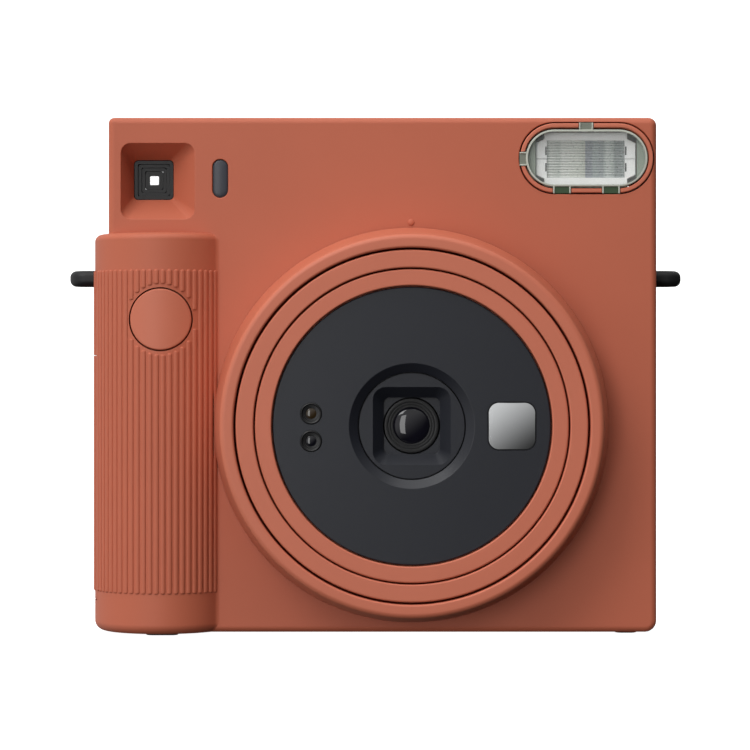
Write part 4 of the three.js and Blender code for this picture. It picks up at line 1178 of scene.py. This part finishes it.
def flash_reflector():
    """The lamp house: chamfered bars above and below, split ears at the ends, ribbed panel."""
    front, rear = 2.65, 10.4
    half_width, half_height = 11.5, 6.2
    chamfer, ear, ear_chamfer = 1.6, 1.9, 0.9
    cx, cz = FLASH

    def house(inset):
        side, top = half_width - inset, half_height - inset
        quarter = [(side, top - chamfer - ear_chamfer), (side - ear, top - chamfer),
                   (side - ear, top)]
        points = []
        for sx, sz in ((1, 1), (-1, 1), (-1, -1), (1, -1)):
            corner = quarter if sx == sz else reversed(quarter)
            points += [(cx + sx * x, cz + sz * z) for x, z in corner]
        return points
    shell = slab(house, rounded_ends(front, rear, 0.2, 0, 3))
    panel_half_width, panel_top = 9.0, 4.35
    split_reach, split_depth, split_half_width = 2.6, 0.7, 0.17
    pocket_steps = [(front - 1, 0.0), (front + 0.7, 0.0), (front + 0.9, 0.35), (rear - 1.5, 3.2)]
    pocket = slab(lambda inset: rounded_rect(
        2 * panel_half_width, 2 * (panel_top - inset), 0.15, FLASH, 3), pocket_steps)
    splits = []
    for side in (-1, 1):
        x = cx + side * half_width
        splits.append(block((x - split_reach, x + split_reach), (front - 1, front + split_depth),
                            (cz - split_half_width, cz + split_half_width)))
    finished("lamp_house", cut(shell, pocket, *splits), "reflector_metal", "root",
             ["flash_reflector"], material=materials["lamp_house"])

    slots = []
    for side in (-1, 1):
        x = cx + side * (panel_half_width + 0.12)
        for end in (-1, 1):
            slots.append(rect_slab(0.32, 2.0, 0.14, (x + side * 0.1, cz + end * 1.9),
                                   rounded_ends(front - 0.12, front + 0.5, 0.08, 0, 2), 4))
    finished("lamp_contacts", together(*slots), "black_plastic", "root")


def lens_strips():
    """Fine lying prisms across the lamp, made once and repeated up the panel."""
    pitch, count, width, depth = 0.62, 14, 17.9, 0.28
    overlap = 0.52                      # half a prism's height, as a share of the pitch
    tree = new_tree("lamp_prisms", (("Width", width), ("Pitch", pitch), ("Depth", depth)),
                    (("Count", count),))
    add = node_adder(tree)
    given = add("NodeGroupInput").outputs
    step = add("ShaderNodeCombineXYZ", {}, {2: given["Pitch"]})
    line = add("GeometryNodeMeshLine", {}, {"Count": given["Count"], "Offset": step.outputs[0]})
    prism = add("GeometryNodeMeshCylinder", {}, {"Vertices": 12, "Radius": 1.0, "Depth": 1.0})
    half = add("ShaderNodeMath", {"operation": "MULTIPLY"}, {0: given["Pitch"], 1: overlap})
    size = add("ShaderNodeCombineXYZ", {}, {0: half.outputs[0], 1: given["Depth"],
                                            2: given["Width"]})
    shaped = add("GeometryNodeTransform", {}, {"Geometry": prism.outputs["Mesh"],
                                               "Scale": size.outputs[0]})
    laid = add("GeometryNodeTransform", {}, {"Geometry": shaped.outputs[0],
                                             "Rotation": (0, math.radians(90), 0)})
    placed = add("GeometryNodeInstanceOnPoints", {}, {"Points": line.outputs[0],
                                                      "Instance": laid.outputs[0]})
    real = add("GeometryNodeRealizeInstances", {}, {0: placed.outputs[0]})
    coated = add("GeometryNodeSetMaterial", {}, {0: real.outputs[0], "Material": given["Finish"]})
    add("NodeGroupOutput", {}, {0: coated.outputs[0]})
    bm = grown_solid(tree, [(0.0, 0.0, 0.0)], {"Finish": materials["lamp_panel"]})
    panel_y, panel_bottom = 3.55, FLASH[1] - pitch * (count - 1) / 2
    bmesh.ops.translate(bm, vec=(FLASH[0], panel_y, panel_bottom), verts=bm.verts)
    finished("lamp_prisms", bm, "reflector_metal", "root", material=materials["lamp_panel"])


# ------------------------------------------------------------------ lugs and feet

def strap_lugs():
    """Rounded bars with an eye, which come out through the side walls from a flange inside."""
    for side, node, wall_x in ((-1, "strap_lug_left", GRIP_LEFT), (1, "strap_lug_right", BODY_RIGHT)):
        start, end = low(node), high(node)
        tip = end.x if side > 0 else start.x
        y = (start.y + end.y) / 2 - FRONT_SHIFT
        root, nose = wall_x - side * (WALL + 0.2), 3.9
        half_height = 1.84
        z = middle(node).z

        def plan(inset):
            r = nose - inset
            centre = (tip - side * nose, y)
            first = 90 if side > 0 else 270
            around = arc(centre, r, first, first - 180, 16)
            return [*around, (root, y - side * r), (root, y + side * r)]
        bar = column(plan, rounded_ends(z - half_height, z + half_height, 1.5, 1.5, 8))
        hole = column(lambda inset: circle(1.8 - inset, (tip - side * 3.6, y), 32),
                      [(z - 3, -1.4), (z - 1.2, 0.0), (z + 1.2, 0.0), (z + 3, -1.4)])
        flange = rect_slab(1.4, 5.2, 0.3, (root - side * 0.7, z),
                           rounded_ends(y - 5, y + 5, 0.3, 0.3, 3), 3)
        finished(f"strap_bar_{'left' if side < 0 else 'right'}",
                 join(cut(bar, hole), flange), "black_plastic", "root", [node], sharp=50)


def feet():
    """Rubber pads under the body, each with a plug that goes up into it."""
    for node in ("foot_left", "foot_right"):
        start, end = low(node), high(node)
        centre = ((start.x + end.x) / 2, (start.y + end.y) / 2 - FRONT_SHIFT)
        size = (end.x - start.x, end.y - start.y)
        pad = column(lambda inset: rounded_rect(size[0] - 2 * inset, size[1] - 2 * inset, 1.4,
                                                centre, 8), rounded_ends(0.0, 0.48, 0.25, 0.1, 4))
        plug_radius, plug_y = 1.5, start.y - FRONT_SHIFT + 3
        plug = column(lambda inset: circle(plug_radius, (centre[0], plug_y), 24),
                      [(0.3, 0), (3.2, 0)])
        finished(f"{node}_pad", join(pad, plug), "black_rubber", "root", [node])


# ------------------------------------------------------------------ back of the camera

def film_door():
    """The hinged back: plate, hinge barrel, window opening, latch slot and a shallow panel."""
    start, end = low("film_door"), high("film_door")
    hinge = middle("door_hinge_pin")
    hinge_x, hinge_y = hinge.x, hinge.y - FRONT_SHIFT
    face = BACK_Y - 2.6
    centre = ((start.x + hinge_x) / 2, (start.z + end.z) / 2)
    plate = rect_slab(hinge_x - start.x, end.z - start.z, 0.8, centre,
                      rounded_ends(face, BACK_Y, 0.1, 0.35, 4))
    barrel = column(lambda inset: circle(1.4 - inset, (hinge_x, hinge_y), 40),
                    rounded_ends(start.z, end.z, 0.25, 0.25, 4))
    bore = pin_bore(hinge_x, hinge_y)
    window = across("film_window")
    window_hole = rect_slab(15.6, 9.6, 2.0, window,
                            [(face - 1, 0), (BACK_Y - 0.3, 0), (BACK_Y - 0.1, -0.1),
                             (BACK_Y + 0.2, -0.4)])
    latch_low, latch_high = low("door_latch"), high("door_latch")
    slot = block((latch_low.x + 4.3, latch_low.x + 11.3), (face - 1, FAR),
                 (latch_low.z + 4, latch_high.z - 4))
    inset, groove_width = 4.5, 0.8
    width, height = hinge_x - start.x - 2 * inset, end.z - start.z - 2 * inset
    outer = rect_slab(width, height, 6.0, centre,
                      [(BACK_Y - 0.35, 0.25), (BACK_Y - 0.3, 0.15), (BACK_Y + 1, 0)])
    inner = rect_slab(width - 2 * groove_width, height - 2 * groove_width, 6.0 - groove_width,
                      centre, [(BACK_Y - 1, -0.2), (BACK_Y + 2, 0.1)])
    finished("back_door", cut(join(plate, barrel), bore, window_hole, slot, cut(outer, inner)),
             "cover_plastic", "door", ["film_door"])
    pane_front = low("film_window").y - FRONT_SHIFT
    pane = rect_slab(15.0, 9.0, 1.7, window,
                     rounded_ends(pane_front, BACK_Y - 0.2, 0.1, 0.35, 4))
    finished("film_pane", pane, "smoked_window", "door", ["film_window"],
             material=materials["film_pane"])


def latch():
    """A sliding pad with a ribbed thumb face, its neck and the hook inside the door."""
    start, end = low("door_latch"), high("door_latch")
    z = (start.z + end.z) / 2
    pad_y, pad_back = BACK_Y + GAP, end.y - FRONT_SHIFT
    pad_low, pad_high = start.x + 3.3, end.x
    pad = rect_slab(pad_high - pad_low, end.z - start.z, 2.2, ((pad_low + pad_high) / 2, z),
                    rounded_ends(pad_y, pad_back - 0.35, 0.15, 0.5, 5))
    bars = []
    count, margin = 7, 1.6
    for i in range(count):
        x = pad_low + margin + (pad_high - pad_low - 2 * margin) * i / (count - 1)
        bars.append(rect_slab(0.7, end.z - start.z - 4.0, 0.34, (x, z),
                              rounded_ends(pad_back - 0.8, pad_back, 0, 0.3, 4), 4))
    neck = block((pad_low + 3.9, pad_low + 7.7), (BACK_Y - 3.4, BACK_Y + 0.5),
                 (z - 3.7, z + 3.7))
    hook = rect_slab(end.x - start.x, 14.0, 0.6, ((start.x + end.x) / 2, z),
                     rounded_ends(BACK_Y - 3.7, BACK_Y - 2.9, 0.15, 0, 3))
    finished("latch_slide", join(pad, neck, hook, *bars), "black_plastic", "latch",
             ["door_latch"])


def casing_screws():
    """Cross-head screws in their wells."""
    for i, place in enumerate(SCREW_PLACES, 1):
        head = rod(2.1, BACK_Y - 0.8, BACK_Y - 0.05, place, 0, 0.35, 40)
        cross = []
        for along, across in ((2.2, 0.42), (0.42, 2.2)):
            steps = [(BACK_Y - 0.6, 0.5), (BACK_Y + 0.3, 1.0)]
            cross.append(loft([[(place[0] + sx * along / 2 * k, y, place[1] + sz * across / 2 * k)
                                for sx, sz in ((1, 1), (-1, 1), (-1, -1), (1, -1))]
                               for y, k in steps]))
        shank = rod(1.0, 20, BACK_Y - 0.6, place, steps=24)
        finished(f"cross_screw_{i}", join(cut(head, *cross), shank), "steel", "root",
                 [f"casing_screw_{i}"])


def exposure_counter():
    """A clear window over a white disc with a ring of raised marks, one of them long."""
    pane = rect_slab(5.0, 5.0, 0.5, across("counter_window"),
                     rounded_ends(BACK_Y - WALL, BACK_Y - 0.2, 0.1, 0.4, 4))
    finished("counter_pane", pane, "clear_plastic", "root", ["counter_window"])
    centre = middle("counter_disc")
    y0, y1 = low("counter_disc").y - FRONT_SHIFT, high("counter_disc").y - FRONT_SHIFT
    bore, rim = 1.3, 6.5
    disc = turned(filleted([(bore, y0, 0), (rim, y0, 0.1), (rim, y1, 0.15), (bore, y1, 0)], 3),
                  (centre.x, centre.z), 64)
    finished("counter_dial", disc, "grey_plastic", "counter", ["counter_disc"],
             material=materials["dial_white"])
    marks = []
    count, marks_end = 11, 5.9
    for i in range(count):
        turn = math.radians(90 + 30 * i)
        reach = 1.5 if i == 0 else 0.8
        bar = rect_slab(reach, 0.4, 0.15, (marks_end - reach / 2, 0.0),
                        [(y1 - 0.1, 0), (y1 + 0.06, 0)], 3)
        bmesh.ops.rotate(bar, matrix=Matrix.Rotation(-turn, 3, "Y"), verts=bar.verts)
        bmesh.ops.translate(bar, vec=(centre.x, 0, centre.z), verts=bar.verts)
        marks.append(bar)
    finished("counter_marks", together(*marks), "black_plastic", "counter")


# ------------------------------------------------------------------ the rest of the frame

def dress_frame():
    """Gives every carried-over node the made material of its slot."""
    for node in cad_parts.values():
        slot_name = node.data.materials[0].name.split(".")[0]
        node.data.materials[0] = materials[slot_name]


# ------------------------------------------------------------------ camera, floor and lights

def set_camera():
    """A long lens on the level, square to the front."""
    distance, eye_x, eye_z = 610.0, -0.1, 59.7
    data = bpy.data.cameras.new("camera")
    data.lens = 127.3
    data.sensor_width = 36.0
    camera = bpy.data.objects.new("camera", data)
    camera.location = (eye_x * MM, (FRONT_SHIFT - distance) * MM, eye_z * MM)
    camera.rotation_euler = (math.radians(90), 0, 0)
    bpy.context.scene.collection.objects.link(camera)
    bpy.context.scene.camera = camera


def pale_floor():
    """A plain round floor that curves up into a wall on every side."""
    reach, height, curve, steps = 4.0, 6.0, 0.8, 64
    profile = [(reach - curve + r, curve + z) for r, z in arc((0, 0), curve, -90, 0, 12)]
    profile.append((reach, height))
    turns = [2 * math.pi * i / steps for i in range(steps)]
    bm = bmesh.new()
    rings = [[bm.verts.new((r * math.cos(t), r * math.sin(t), z)) for t in turns]
             for r, z in profile]
    bm.faces.new(rings[0])
    for inner, outer in zip(rings, rings[1:]):
        for i in range(steps):
            after = (i + 1) % steps
            bm.faces.new((inner[i], outer[i], outer[after], inner[after]))
    mesh = bpy.data.meshes.new("floor")
    bm.to_mesh(mesh)
    bm.free()
    mesh.shade_smooth()
    floor = bpy.data.objects.new("floor", mesh)
    bpy.context.scene.collection.objects.link(floor)
    paint = Paint("floor_paper", Specular_IOR_Level=0.1, Emission_Strength=1.0,
                  Emission_Color=(1.0, 1.0, 1.0, 1.0))
    fibres = paint.noise(4.0, detail=3.0)
    white = (0.92, 0.92, 0.92, 1.0)
    mesh.materials.append(paint.set(
        Base_Color=paint.between(fibres, scaled(white, 0.985), white), Roughness=0.9))
    # the paper neither lights nor shades the object: the lamps and the sky do that
    floor.visible_glossy = False
    floor.visible_diffuse = False
    floor.visible_shadow = False


def soft_light(name, place, size, watts, aim=(0.0, 0.0, 0.06)):
    data = bpy.data.lights.new(name, "AREA")
    data.shape = "RECTANGLE"
    data.size, data.size_y = size
    data.energy = watts
    light = bpy.data.objects.new(name, data)
    light.location = place
    light.rotation_euler = (Vector(aim) - Vector(place)).to_track_quat("-Z", "Y").to_euler()
    bpy.context.scene.collection.objects.link(light)


def light_from_upper_left(tree):
    """A soft sky that goes from dim at the lower right to bright at the upper left."""
    add = node_adder(tree)
    towards_light = (-0.6, 0.0, 0.8)
    dim, bright = 0.02, 0.74
    lean = add("ShaderNodeVectorMath", {"operation": "DOT_PRODUCT"}, {
        0: add("ShaderNodeTexCoord").outputs["Generated"], 1: towards_light})
    spread = add("ShaderNodeMapRange", {"interpolation_type": "SMOOTHSTEP"}, {
        "Value": lean.outputs["Value"], "From Min": -0.38, "From Max": 0.40,
        "To Min": dim, "To Max": bright})
    background = tree.nodes["Background"]
    background.inputs["Color"].default_value = (1.0, 1.0, 1.0, 1.0)
    tree.links.new(spread.outputs["Result"], background.inputs["Strength"])


def studio():
    scene = bpy.context.scene
    scene.view_settings.view_transform = "Standard"
    scene.view_settings.look = "None"
    world = bpy.data.worlds.new("studio")
    world.use_nodes = True
    light_from_upper_left(world.node_tree)
    scene.world = world
    soft_light("key_light", (-0.55, -0.75, 0.85), (0.45, 0.45), 3.6)
    soft_light("top_light", (-0.1, -0.3, 0.95), (0.9, 0.6), 3.2)
    soft_light("side_box", (-0.30, -1.0, 0.09), (0.24, 0.72), 2.0)


dress_frame()
set_camera()
pale_floor()
studio()
front_cover()
rear_cover()
battery_cover()
index_dot()
release_button()
grip_ribs()
viewfinder_front()
eyepiece()
light_window()
flash_trim()
flash_clips()
flash_window()
flash_reflector()
lens_strips()
strap_lugs()
feet()
film_door()
latch()
casing_screws()
exposure_counter()
lens_ring()
lens_barrels()
faceplate()
mirror()
light_sensors()
hood()
front_glass()
